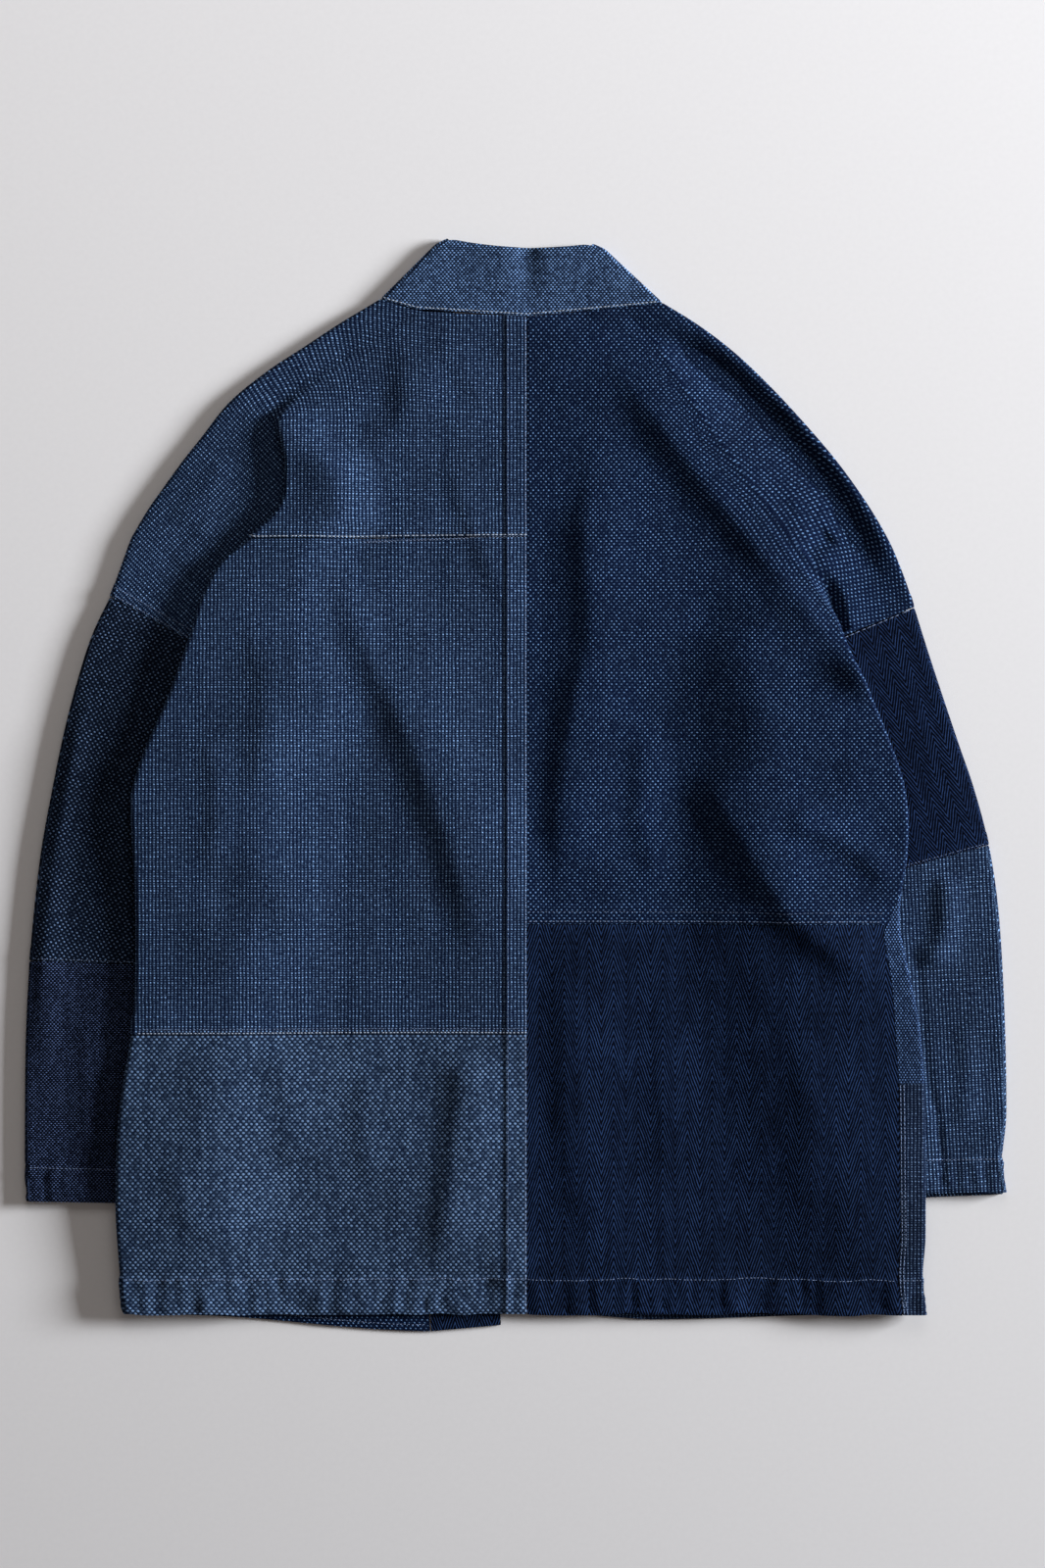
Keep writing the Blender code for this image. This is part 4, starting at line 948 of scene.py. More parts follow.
HEM_RIBS = herringbone(9.4, 0.48, 0.17)
SLEEVE_RIBS = herringbone(7.5, 0.46, 0.2)
RICE_DASHES = dashed(3.97, 2.18, 0.17, 0.23)
SLEEVE_RICE_DASHES = dashed(3.97, 2.18, 0.18, 0.25)
BIRD_EYES = dashed(4.1, 2.235, 0.25, 0.36, 0.06)
BASKET_KNOTS = dashed(2.9, 1.65, 0.25, 0.31, 0.04)
SMALL_DOTS = dashed(2.74, 1.43, 0.22, 0.2)
FINE_DASHES = dashed(2.34, 1.875, 0.22, 0.28, 0.03)

GRID = cloth("grid_cloth", "grid_cloth", (1, 11, 40), (134, 174, 226), grid_weave)
GRID_DARK = cloth("grid_cloth_dark", "grid_cloth", (2, 10, 33), (106, 134, 174), grid_weave)
RICE = cloth("rice_cloth", "rice_cloth", (2, 12, 40), (98, 134, 180), RICE_DASHES)
BIRDSEYE = cloth("birdseye_cloth", "birdseye_cloth", (2, 15, 41), (106, 135, 174), BIRD_EYES)
HERRINGBONE = cloth("herringbone_cloth", "herringbone_cloth", (0, 1, 10), (39, 62, 104), HEM_RIBS)
SLEEVE_HERRINGBONE = cloth("herringbone_sleeve_cloth", "herringbone_cloth", (0, 1, 10), (36, 57, 98),
                           SLEEVE_RIBS)
BASKET = cloth("basket_cloth", "basket_cloth", (0, 7, 34), (122, 160, 214), BASKET_KNOTS)
DOTS = cloth("dot_cloth", "dot_cloth", (0, 2, 14), (104, 128, 182), SMALL_DOTS)
# A copy of the rice cloth for the upper left sleeve. Its ground and thread are painted darker as painted
# shade for the side away from the window.
RICE_PAINTED_SHADE = cloth("rice_cloth_painted_shade", "rice_cloth", (2, 8, 25), (98, 124, 162), SLEEVE_RICE_DASHES)
FINE = cloth("fine_cloth", "basket_cloth", (1, 9, 34), (98, 132, 184), FINE_DASHES)
THREAD = thread("stitch_thread", (112, 130, 165))
PALE_THREAD = thread("pale_stitch_thread", (158, 172, 192))


# Pieces

def shoulder_rows(table, low_y, near=()):
    """Row numbers down to a place on the centre seam, about a step apart, and closer at felled edges."""
    fine = np.linspace(0, len(table) - 1, 2001)
    ys = column(table, "centre_y", None)(fine)
    wanted = spaced(table[0].centre_y, low_y, STEP, near)
    return np.interp(-wanted, -ys, fine)


def spaced(high, low, step, near=()):
    """Places every step, with places at each felled edge as well."""
    count = max(2, int(round((high - low) * FINE_SCALE / step)))
    fixed = [place for place in near if low < place < high]
    ys = np.linspace(high, low, count + 1)[1:-1]
    ys = [y for y in ys if all(abs(y - f) > 0.6 for f in fixed)]
    return np.array(sorted({high, low, *fixed, *ys}, reverse=True))


def seam_places(high, low, depth):
    """Rows just inside both seams and at the edge of a strip along the lower one."""
    edge = low + depth
    return high - 0.7, high - 1.6, low + 0.7, low + 1.6, edge - 0.3, edge + 0.4, edge + 1.2


def puckers(x, distance, depth, seed):
    """Small gathers across a hem, strongest between its stitching and its edge."""
    inside = ease(distance / 3.0) * (1 - ease((distance - depth + 2) / 6.0))
    large = 1.3 * soft_noise(x, distance * 0.2, 5.6, seed)
    return inside * (large + 0.5 * soft_noise(x, distance, 3.2, seed + 1))


def stitch_groove(distance, place):
    """The line that the stitches of a hem draw in."""
    return -0.35 * np.exp(-((distance - place) / 1.3) ** 2)


def seam_gathers(x, distance, seed):
    """Smaller gathers beside a seam."""
    near = (1 - ease(distance / 16.0)) * ease(distance / 1.5)
    return 0.3 * near * soft_noise(x, distance * 0.3, 7.5, seed)


def panel_relief(grid, low_depth, low_height, fell, seed, hem=False):
    """Raised seams and rolled edges of a back panel, and its wear."""
    low = gone(grid, 0, True)
    high = gone(grid, 0)
    inner = gone(grid, 1)
    x = grid[..., 0]
    raised = felled(low, low_depth, 1.5 * low_height) + rolled(low) + seam_gathers(x, low, seed)
    raised = raised + rolled(inner, 0.3) + rolled(high) + seam_gathers(x, high, seed + 2)
    if fell:
        raised = raised + felled(inner, FELL_WIDTH, FELL_RAISE, 0.9)
        raised = raised - 0.7 * np.exp(-((inner - FELL_WIDTH / 2) / 1.1) ** 2)
        raised = raised - 0.35 * np.exp(-((inner - 2.2) / 0.7) ** 2)
        raised = raised + 0.12 * soft_noise(grid[..., 1], inner * 0.2, 5.0, seed + 4) * (inner < FELL_WIDTH)
    if hem:
        raised = raised + puckers(x, low, low_depth, seed + 6) + stitch_groove(low, low_depth)
    return raised, near_edges(low, high, inner) * WORN


def make_left_yoke():
    table, split = LEFT_SHOULDER, PLEAT_END
    near = seam_places(table[0].centre_y, YOKE_SEAM_Y, PANEL_FELL)
    grid, cloth_place = shoulder_grid("left", shoulder_rows(table, YOKE_SEAM_Y, near))
    more, more_cloth = drop_shoulder(grid[-1, split, :2], grid.shape[1])
    grid[:, 0, 0] -= SEAM_GAP / 2
    top = inset_rows(grid, True, False)
    top[-1, :split] = inset_rows(grid, False, True)[-1, :split]
    whole = np.concatenate([top, more])
    raised, wear = panel_relief(top, PANEL_FELL, YOKE_RAISE, True, 11)
    low = gone(top, 0, True)
    worn_strip = 1 - ease((low - PANEL_FELL) / 1.5)
    worn_strip = worn_strip * (0.55 + soft_noise(top[..., 0], low * 0.2, 20.0, 19))
    wear = np.maximum(wear, WORN * np.clip(worn_strip, 0.0, 1.0))
    seam_part = np.arange(whole.shape[1]) < split
    raised = np.where(seam_part, raised, rolled(gone(top, 0)))
    wear = np.where(seam_part, wear, 0.0)
    arm_gone = gone(whole[:, split:], 0, True)
    whole[-1, split:] = inset_rows(whole[:, split:], False, True)[-1]
    plain_part = np.zeros(more.shape[:2])
    raised = np.concatenate([raised, plain_part])
    wear = np.concatenate([wear, plain_part])
    raised[:, split:] += felled(arm_gone, ARM_FELL, PANEL_RAISE) + rolled(arm_gone)
    wear[:, split:] = np.maximum(wear[:, split:], near_edges(arm_gone) * WORN)
    flat_cloth = np.concatenate([cloth_place, more_cloth])
    piece("yoke_left", GRID, (0.42, 0.31), whole, flat_cloth, area=0.062, raised=raised, wear=wear)


def drop_shoulder(start, columns):
    """The yoke's rows below its seam, out over the drop shoulder to the armhole, as a grid of the
    yoke's columns."""
    arm, last = LEFT_SLEEVE[0], LEFT_SHOULDER[-1]
    out = np.array((last.out_x, last.out_y))
    down = steps(26)
    places = start + (np.array((arm.in_x, arm.in_y)) - start) * down[:, None]
    outs = out + (np.array((arm.out_x, arm.out_y)) - out) * down[:, None]
    laid = np.full(len(down), LAID)
    plan, height = outer_grid(places, laid, outs, 1.0, 0.0)
    more = np.full((len(down), columns, 3), np.nan)
    more[:, PLEAT_END] = np.column_stack([places, laid])
    more[:, PLEAT_END + 1:, :2], more[:, PLEAT_END + 1:, 2] = plan, height
    return more, fanned("left", np.nan_to_num(more[..., :2]), True)


def back_panel(node, kind, side, high, low, flat, seed, hem=False, tilt=0.0):
    """A panel of the back between two cross seams, or down to the hem."""
    depth = HEM_DEPTH if hem else PANEL_FELL
    ys = spaced(high, low, STEP, seam_places(high, low, depth))
    share = (ys - low) / (high - low)
    grid, cloth_place, _, _ = side_grid(side, ys, tilt * share ** 2)
    grid = inset_rows(grid, True, not hem)
    grid[:, 0, 0] += SIDES[side][0] * SEAM_GAP / 2
    grid = inset_columns(grid, False, True)
    if hem:
        fade = 1 - ease(gone(grid, 0, True) / 30)
        grid[..., 1] += HEM_WAVE * soft_noise(grid[..., 0], 0.0, 17, seed + 3) * fade
    raised, wear = panel_relief(grid, depth, HEM_RAISE if hem else PANEL_RAISE, side == "left", seed, hem)
    piece(node, kind, flat, grid, cloth_place, raised=raised, wear=wear)


def make_right_back():
    table, split = RIGHT_SHOULDER, PLEAT_END
    armhole_y = table[-1].centre_y
    upper_rows = shoulder_rows(table, armhole_y, seam_places(table[0].centre_y, 0, 0))
    upper, upper_cloth = shoulder_grid("right", upper_rows)
    ys = spaced(RIGHT_TOP_Y, RIGHT_SEAM_Y, STEP, seam_places(200, RIGHT_SEAM_Y, PANEL_FELL))
    between = spaced(armhole_y, RIGHT_TOP_Y, STEP)[1:-1]
    lower, lower_cloth, _, _ = side_grid("right", ys)
    lower = inset_columns(lower, False, True)
    count = lower.shape[1]
    share = ((armhole_y - between) / (armhole_y - RIGHT_TOP_Y))[:, None, None]
    middle = upper[-1:, :count] * (1 - share) + lower[:1] * share
    middle_cloth = upper_cloth[-1:, :count] * (1 - share) + lower_cloth[:1] * share
    lower = np.concatenate([middle, lower])
    lower_cloth = np.concatenate([middle_cloth, lower_cloth])
    pad = np.full((len(lower), upper.shape[1] - count, 3), np.nan)
    grid = np.concatenate([upper, np.concatenate([lower, pad], axis=1)])
    cloth_place = np.concatenate([upper_cloth, np.concatenate([lower_cloth, pad[..., :2]], axis=1)])
    end = len(upper)
    raised, wear = panel_relief(grid, PANEL_FELL, PANEL_RAISE, False, 21)
    arm_gone = gone(grid[:end, split:], 0, True)
    raised[:, split:] = rolled(gone(grid, 0))[:, split:]
    raised[:end, split:] += felled(arm_gone, ARM_FELL, PANEL_RAISE) + rolled(arm_gone)
    wear[:end, split:] = near_edges(arm_gone) * WORN
    grid[:, 0, 0] += SEAM_GAP / 2
    body = inset_rows(grid, True, True)
    body[end - 1, split:] = inset_rows(grid[:end, split:], False, True)[-1]
    piece("back_right", RICE, (0.42, 0.48), body, cloth_place, area=0.135, raised=raised, wear=wear)


def band_seam_x(side, y):
    """The line where a front meets its band, straight from the neck to the hem."""
    end = BAND_END[side]
    top = collar_fold(side, 0.0)[-1]
    return top[0] + (end.seam_x - top[0]) * (top[1] - y) / (top[1] - end.seam_y)


def front_row(end, inner, seam, lift, raised):
    """Points from the shoulder fold in to an inner place, and on to the band."""
    out = end[:2]
    first = out + (inner - out) * np.linspace(0, 1, FRONT_ROW)[:, None]
    width = np.linalg.norm(first - out, axis=1)
    height = FLOOR_MID + lift * edge_lift(width)
    height[0] = end[2]
    points = np.column_stack([first, height])
    if seam is None:
        return np.concatenate([points, np.full((FRONT_ROW, 3), np.nan)])
    second = inner + (seam - inner) * steps(FRONT_ROW)[:, None]
    level = FLOOR_MID + (front_height(second[:, 0], second[:, 1]) - FLOOR_MID) * raised
    return np.concatenate([points, np.column_stack([second, level])])


def shoulder_front(side, kind, flat, area):
    """The front's upper part: the shoulder fold's under side, and the drop shoulder to the armhole."""
    sign, table, _, sleeve = SIDES[side]
    arm = sleeve[0]
    last_row = len(table) - 1
    rows = np.linspace(0, last_row, last_row * 3 + 1)
    sections, _ = shoulder_grid(side, rows)
    neck_y = collar_fold(side, 0.0)[-1][1]
    made_rows = []
    for row, section in zip(rows, sections):
        out = np.array([column(table, name, None)(row) for name in ("out_x", "out_y")])
        inner = section[PLEAT_END, :2]
        seam_y = min(section[0, 1], neck_y - 8.0 - 14.0 * row)
        raised = 0.4 * ease(row - last_row + 1)
        if side == "right":
            raised = ease((row - last_row + 1.6) / 1.6)
            share = (arm.out_y - RIGHT_TOP_Y) / (arm.out_y - arm.in_y)
            corner = np.array((arm.out_x + (arm.in_x - arm.out_x) * share, RIGHT_TOP_Y))
            blend = ease(row - last_row + 1)
            seam_y = seam_y * (1 - blend) + RIGHT_TOP_Y * blend
            inner = inner * (1 - blend) + corner * blend
        seam = np.array((band_seam_x(side, seam_y) + sign * SEAM_GAP, seam_y))
        if (inner[0] - seam[0]) * sign < 15:
            inner = (seam + out) / 2
        made_rows.append(front_row(section[-1], inner, seam, ease(row / 2), raised))
    if side == "left":
        start = sections[-1, PLEAT_END, :2]
        edge = np.array(table[-1][5:7])
        for share in steps(DROP_HIDDEN):
            place = start + (np.array((arm.in_x, arm.in_y)) - start) * share
            out = edge + (np.array((arm.out_x, arm.out_y)) - edge) * share
            plan, height = outer_grid(place[None], np.array((LAID,)), out[None], 1.0, 0.0)
            end = np.array((*plan[0, -1], height[0, -1]))
            made_rows.append(front_row(end, place, None, 1.0, 0.0))
    grid = inset_columns(np.array(made_rows), True, False)
    piece("front_" + side + "_upper", kind, flat, grid, grid[..., :2], area=area)


def front_hem_y(side, x):
    """The front hem, which shows a little past the back hem towards the front edge."""
    end = BAND_END[side]
    span = (x - end.seam_x) / (SIDES[side][2][-1].edge_x - end.seam_x)
    return end.seam_y + (BACK_HEM_Y - end.seam_y) * ease(span * 1.15)


def front_panel(node, kind, side, high, low, flat, hem=False):
    """A front below the underarm, from the side seam in to the band."""
    sign = SIDES[side][0]
    step = STEP if side == "right" else HIDDEN_STEP
    ys = spaced(high, low, step, seam_places(high, low, HEM_DEPTH if hem else 6.0))
    _, _, lead, lead_cloth = side_grid(side, ys)
    seam_x = band_seam_x(side, ys) + sign * SEAM_GAP
    start_x, start_z, y = lead[:, -1:, 0], lead[:, -1:, 2], ys[:, None]
    x = start_x + (seam_x[:, None] - start_x) * steps(FRONT_COUNT)
    settle = 1 - ease(abs(x - start_x) / 30.0)
    height = front_height(x, y) + (start_z - front_height(start_x, y)) * settle
    reach = np.broadcast_to(y, x.shape).copy()
    if hem:
        share = (high - y) / (high - low)
        reach = reach + (front_hem_y(side, x) - low) * share ** 2
        height = height + 0.4 * ease(share) * (1 + soft_noise(x, reach, 26, 9))
    grid = np.concatenate([lead, stack(x, reach, height)], axis=1)
    past = lead_cloth[:, -1:, 0] + sign * abs(x - start_x)
    cloth_place = np.concatenate([lead_cloth, stack(past, reach)], axis=1)
    grid = inset_columns(inset_rows(grid, True, not hem), True, False)
    low_gone, inner = gone(grid, 0, True), gone(grid, 1)
    raised = rolled(low_gone) + rolled(inner, 0.3)
    if hem:
        raised = raised + felled(low_gone, HEM_DEPTH, HEM_RAISE)
        raised = raised + puckers(grid[..., 0], low_gone, HEM_DEPTH, 31)
    piece(node, kind, flat, grid, cloth_place, raised=raised, wear=near_edges(low_gone, inner) * WORN)


def collar_corner(side):
    """Where the neck seam's shallow pleat ends, its outer end, and the way between them."""
    grid, _ = shoulder_grid(side, [0.0])
    out = np.array(SIDES[side][1][0][5:7])
    place = grid[0, PLEAT_END, :2]
    return place, out, unit(out - place)


def collar_fold(side, share, count=10):
    """The collar's side fold at one share of its depth: over the fold and a little way back under."""
    _, out, way = CORNERS[side]
    top = np.array(COLLAR_TOP[side])
    rise = unit(top - out)
    square = np.array((-rise[1], rise[0])) * -SIDES[side][0]
    way = unit(way * (1 - share) + square * share)
    start = out * (1 - share) + top * share - way * (COLLAR_TURN + BAND / 2)
    angle = np.linspace(0, np.pi, count + 1)
    plan = start + way * (COLLAR_TURN * np.sin(angle))[:, None]
    height = LAID - COLLAR_TURN * (1 - np.cos(angle))
    points = np.column_stack([plan, height])
    return np.concatenate([points, [[*(start - way * HEM_RUN), height[-1]]]])


def collar_row(low, high, across, share):
    """One row along the collar, from under one side fold to under the other, and its cloth places."""
    left, right = [collar_fold(side, share) for side in ("left", "right")]
    plan = low * (1 - share) + high * share
    plan[0], plan[-1] = left[0, :2], right[0, :2]
    dent = COLLAR_DENT * share * np.exp(-(((plan[:, 0] - CENTRE_X) / COLLAR_DENT_WIDTH) ** 2))
    waves = 0.5 * small_waves(plan[:, 0], plan[:, 1]) * ease(across / 0.1) * ease((1 - across) / 0.1)
    middle = np.column_stack([plan, LAID - dent + waves])
    before, after = [np.cumsum(np.linalg.norm(np.diff(turned, axis=0), axis=1)) for turned in (left, right)]
    cloth_x = np.concatenate([plan[0, 0] - before[::-1], plan[:, 0], plan[-1, 0] + after])
    cloth_y = np.pad(plan[:, 1], (len(before), len(after)), mode="edge")
    return np.concatenate([left[:0:-1], middle, right[1:]]), np.column_stack([cloth_x, cloth_y])


def make_collar():
    """The band behind the neck, folded at both shoulder points."""
    centre = np.array((CENTRE_X, RIGHT_SHOULDER[0].centre_y))
    left, right = [CORNERS[side][0] for side in ("left", "right")]
    seam_ends = [collar_fold(side, 0.0)[0, :2] for side in ("left", "right")]
    top_ends = [collar_fold(side, 1.0)[0, :2] for side in ("left", "right")]
    marks = [seam_ends[0], left, centre, right, seam_ends[1]]
    low = [a + (b - a) * (np.arange(n) / n)[:, None]
           for a, b, n in zip(marks[:-1], marks[1:], COLLAR_COUNTS)]
    low = np.concatenate([*low, marks[-1:]])
    across = (low[:, 0] - low[0, 0]) / (low[-1, 0] - low[0, 0])
    high = top_ends[0] + (top_ends[1] - top_ends[0]) * across[:, None]
    high[:, 1] -= COLLAR_DIP * 4 * across * (1 - across)
    rows, cloths = zip(*[collar_row(low, high, across, share) for share in np.linspace(0, 1, COLLAR_ROWS)])
    grid = np.array(rows)
    for corner in COLLAR_TOP.values():
        away = grid[..., :2] - np.array(corner)
        near = ease(1 - np.linalg.norm(away, axis=2) / COLLAR_ROUND)[..., None]
        grid[..., :2] += COLLAR_ROUND * 0.25 * near * unit(centre - np.array(corner))
    grid = inset_rows(grid, True, False)
    grid = inset_columns(grid, True, True)
    low_gone, high_gone = gone(grid, 0), gone(grid, 0, True)
    uneven = 0.2 * soft_noise(grid[..., 0], high_gone, 9, 41) * (1 - ease(high_gone / 12))
    raised = rolled(low_gone) + rolled(high_gone, 0.7, 2.6) + uneven
    wear = near_edges(low_gone, high_gone) * WORN_COLLAR
    piece("collar", BASKET, (0.215, 0.056), grid, np.array(cloths), thickness=BAND, raised=raised, wear=wear)


def make_band(side, kind):
    """A front band, from the collar's fold down the front edge to the hem."""
    end = BAND_END[side]
    rows = [np.array([collar_fold(side, share)[-1] for share in np.linspace(0, 1, BAND_COUNT)])]
    inner_top = rows[0][-1]
    for share in np.linspace(0, 1, BAND_ROWS):
        y = np.linspace(end.seam_y, end.inner_y, BAND_COUNT) * share + BAND_TOP_Y * (1 - share)
        way = (inner_top[1] - y[-1]) / (inner_top[1] - end.inner_y)
        inner_x = inner_top[0] + (end.inner_x - inner_top[0]) * way
        x = np.linspace(band_seam_x(side, y[0]), inner_x, BAND_COUNT)
        rows.append(np.column_stack([x, y, np.full(BAND_COUNT, BAND / 2)]))
    grid = inset_rows(np.array(rows), True, False)
    across = gone(grid, 1)
    raised = rolled(across, 0.5) + rolled(gone(grid, 1, True), 0.8, 2.6) + rolled(gone(grid, 0, True), 0.5)
    piece("band_" + side, kind, (0.056, 0.83), grid, stack(across, grid[..., 1]), thickness=BAND,
          raised=raised, wear=near_edges(across) * WORN_BAND)


def sleeve_grid(side, rows):
    """Flattened rings of a sleeve: over the top from the outer edge, and back along the surface."""
    table, counts = SIDES[side][3], SLEEVE_COUNTS
    at = {name: column(table, name, None)(rows) for name in Sleeve._fields}
    out, inner = stack(at["out_x"], at["out_y"]), stack(at["in_x"], at["in_y"])
    width = np.linalg.norm(out - inner, axis=1)
    way = unit(out - inner)
    half = TURN + CLOTH / 2
    outer_end, inner_end = out - way * half, inner + way * half
    shares = np.linspace(0, 1, counts["top"])
    plan = lines(outer_end, inner_end, shares)
    inward = shares * (width - 2 * half)[:, None]
    fade = ease(inward / 8.0) * ease(((width - 2 * half)[:, None] - inward) / 20.0)
    x, y = plan[..., 0], plan[..., 1]
    folds = sum(ridge(fold, x, y) for fold in SLEEVE_FOLDS) + 0.8 * small_waves(x, y)
    top_height = LAID + edge_lift(inward) + folds * fade
    angle = np.pi * steps(counts["turn"])[:-1]
    sine = np.broadcast_to(TURN * np.sin(angle), (len(rows), len(angle)))
    rounded = moved(inner_end, -way, sine)
    rounded_height = np.broadcast_to(LAID - TURN * (1 - np.cos(angle)), sine.shape)
    under_shares = np.linspace(0, 1, counts["under"])
    under = lines(inner_end, outer_end, under_shares)
    under_height = FLOOR_MID + edge_lift((1 - under_shares) * (width - 2 * half)[:, None])
    outer_round = moved(outer_end, way, sine)
    outer_height = top_height[:, :1] - TURN * (1 + np.cos(angle))
    plans = np.concatenate([plan, rounded, under, outer_round], axis=1)
    heights = np.concatenate([top_height, rounded_height, under_height, outer_height], axis=1)
    grid = np.concatenate([plans, heights[..., None]], axis=2)
    return grid, sleeve_cloth(grid, plan, out[-1] - out[0])


def sleeve_cloth(grid, top, way):
    """Cloth places of a sleeve: its top turned upright, and the rest going on round the ring."""
    lean = np.full(top.shape[:2], np.arctan2(way[0], -way[1]))
    top_cloth = rotated(top, -lean)
    inwards = unit(top_cloth[:, -1] - top_cloth[:, 0])
    ring, count = gone(grid, 1), top.shape[1]
    past = ring[:, count:] - ring[:, count - 1:count]
    return np.concatenate([top_cloth, moved(top_cloth[:, -1], inwards, past)], axis=1)


def make_sleeve(node, kind, side, first, last, flat, cuff=False):
    """A length of sleeve between two sections, as a flattened tube that is open at both ends."""
    fine = np.linspace(first, last, 801)
    ys = column(SIDES[side][3], "out_y", None)(fine)
    depth = CUFF_DEPTH if cuff else ARM_FELL
    wanted = spaced(ys[0], ys[-1], STEP, seam_places(ys[0], ys[-1], depth))
    grid, cloth_place = sleeve_grid(side, np.interp(-wanted, -ys, fine))
    if cuff and side == "right":
        low = SLEEVE_COUNTS["top"] + SLEEVE_COUNTS["turn"] - 1
        slip = np.zeros(grid.shape[1])
        slip[low:low + SLEEVE_COUNTS["under"]] = np.linspace(1, 0.3, SLEEVE_COUNTS["under"])
        grid[-6:, :, 1] -= CUFF_SLIP * slip * (np.arange(1, 7) / 6)[:, None]
    grid = inset_rows(grid, True, not cuff)
    low_gone, high_gone, x = gone(grid, 0, True), gone(grid, 0), gone(grid, 1)
    raised = felled(low_gone, depth, HEM_RAISE if cuff else SLEEVE_RAISE)
    raised = raised + rolled(low_gone) + rolled(high_gone) + seam_gathers(x, high_gone, 51)
    if side == "right":
        raised = raised + ridge(UNDERARM_SEAM, grid[..., 0], grid[..., 1])
    if cuff:
        raised = raised + puckers(x, low_gone, depth, 53) + stitch_groove(low_gone, depth)
    piece(node, kind, flat, grid, cloth_place, raised=raised, ring=True,
          wear=near_edges(low_gone, high_gone) * WORN)


# Stitches

def offset_line(node, edge, distance, first=0.0, last=1.0):
    """A line on a piece's outer face that keeps one distance from one of its edges."""
    points, normals = FACES[node + "_cloth"]
    if "row" in edge:
        points, normals = points.transpose(1, 0, 2), normals.transpose(1, 0, 2)
    if "last" in edge:
        points, normals = points[:, ::-1], normals[:, ::-1]
    rows = range(int(first * (len(points) - 1)), int(last * (len(points) - 1)) + 1)
    line, ups = [], []
    for i in rows:
        row = points[i]
        keep = ~np.isnan(row[:, 0])
        row, up = row[keep], normals[i][keep]
        if len(row) < 2:
            continue
        length = np.concatenate([[0], np.cumsum(np.linalg.norm(np.diff(row, axis=0), axis=1))])
        line.append([np.interp(distance, length, row[:, k]) for k in range(3)])
        ups.append([np.interp(distance, length, up[:, k]) for k in range(3)])
    return np.array(line), unit(np.array(ups))


RING = 6             # points round a stitch
STITCH_PROFILE = ((-1.0, 0.25), (-0.72, 0.85), (0.0, 1.0), (0.72, 0.85), (1.0, 0.25))
STITCH_LIFT = 0.12   # how far a stitch's middle stands off the cloth


def dashes(path, length, pitch, radius, seed):
    """Stitches along a line, as small rounded bars that lie on the cloth."""
    line, ups = path
    way = np.concatenate([[0], np.cumsum(np.linalg.norm(np.diff(line, axis=0), axis=1))])

    def at(values, where):
        return np.stack([np.interp(where, way, values[:, k]) for k in range(3)], axis=1)

    random = np.random.default_rng(seed)
    places = np.arange(pitch / 2, way[-1] - pitch / 2, pitch)
    middle = places + random.normal(0, 0.12, len(places)) * pitch
    half = length / 2 * random.uniform(0.85, 1.12, len(places))
    up = unit(at(ups, middle))
    side = unit(np.cross(unit(at(line, middle + half) - at(line, middle - half)), up))
    turn = np.arange(RING) * math.tau / RING
    cos, sin = np.cos(turn)[:, None], 0.75 * np.sin(turn)[:, None]
    rings = []
    for along, size in STITCH_PROFILE:
        lift = STITCH_LIFT if size > 0.5 else STITCH_LIFT - radius * 0.8
        centre = at(line, middle + half * along) + up * lift
        rings.append(centre[:, None] + radius * size * (side[:, None] * cos + up[:, None] * sin))
    return np.stack(rings, axis=1).reshape(-1, 3), bar_faces(len(places))


def bar_faces(count):
    """Faces of so many stitches: quads between their rings, and a cap at each end."""
    rings = len(STITCH_PROFILE)
    last = (rings - 1) * RING
    faces = [[r * RING + k, r * RING + (k + 1) % RING, (r + 1) * RING + (k + 1) % RING, (r + 1) * RING + k]
             for r in range(rings - 1) for k in range(RING)]
    faces += [list(range(RING))[::-1], list(range(last, last + RING))]
    size = rings * RING
    return [[i + start for i in face] for start in range(0, count * size, size) for face in faces]


def sew(name, parts, material=THREAD):
    """Joins rows of stitches into one piece."""
    points, faces, count = [], [], 0
    for spots, bars in parts:
        points.append(spots)
        faces += [[i + count for i in face] for face in bars]
        count += len(spots)
    mesh = bpy.data.meshes.new(name)
    mesh.from_pydata((np.concatenate(points) * MM).tolist(), [], faces)
    mesh.shade_smooth()
    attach(linked(name, mesh, material), "root")


def running(node, edge, distance, seed, first=0.0, last=1.0, length=2.0, pitch=3.0, radius=0.24):
    """One row of stitches beside an edge of a piece."""
    return dashes(offset_line(node, edge, distance, first, last), length, pitch, radius, seed)


# The jacket

CORNERS = {side: collar_corner(side) for side in SIDES}
make_left_yoke()
back_panel("back_left", GRID, "left", LEFT_TOP_Y, LEFT_SEAM_Y, (0.33, 0.38), 13, tilt=YOKE_TILT)
back_panel("hem_left", BIRDSEYE, "left", LEFT_SEAM_Y, BACK_HEM_Y, (0.33, 0.215), 15, hem=True)
make_right_back()
back_panel("hem_right", HERRINGBONE, "right", RIGHT_SEAM_Y, BACK_HEM_Y, (0.29, 0.3), 17, hem=True)
shoulder_front("left", GRID, (0.22, 0.31), 0.032)
shoulder_front("right", RICE, (0.2, 0.28), 0.032)
front_panel("front_left", RICE, "left", LEFT_TOP_Y, BACK_HEM_Y, (0.23, 0.61), hem=True)
front_panel("front_right", FINE, "right", RIGHT_TOP_Y, FRONT_PATCH_Y, (0.24, 0.32))
front_panel("front_right_hem", GRID_DARK, "right", FRONT_PATCH_Y, BACK_HEM_Y, (0.24, 0.18), hem=True)
make_collar()
make_band("left", HERRINGBONE)
make_band("right", GRID)
LEFT_CUFF, RIGHT_CUFF = len(LEFT_SLEEVE) - 1, len(RIGHT_SLEEVE) - 1
make_sleeve("sleeve_left_upper", RICE_PAINTED_SHADE, "left", 0, LEFT_PATCH_ROW, (0.37, 0.28))
make_sleeve("sleeve_left_lower", DOTS, "left", LEFT_PATCH_ROW, LEFT_CUFF, (0.31, 0.19), cuff=True)
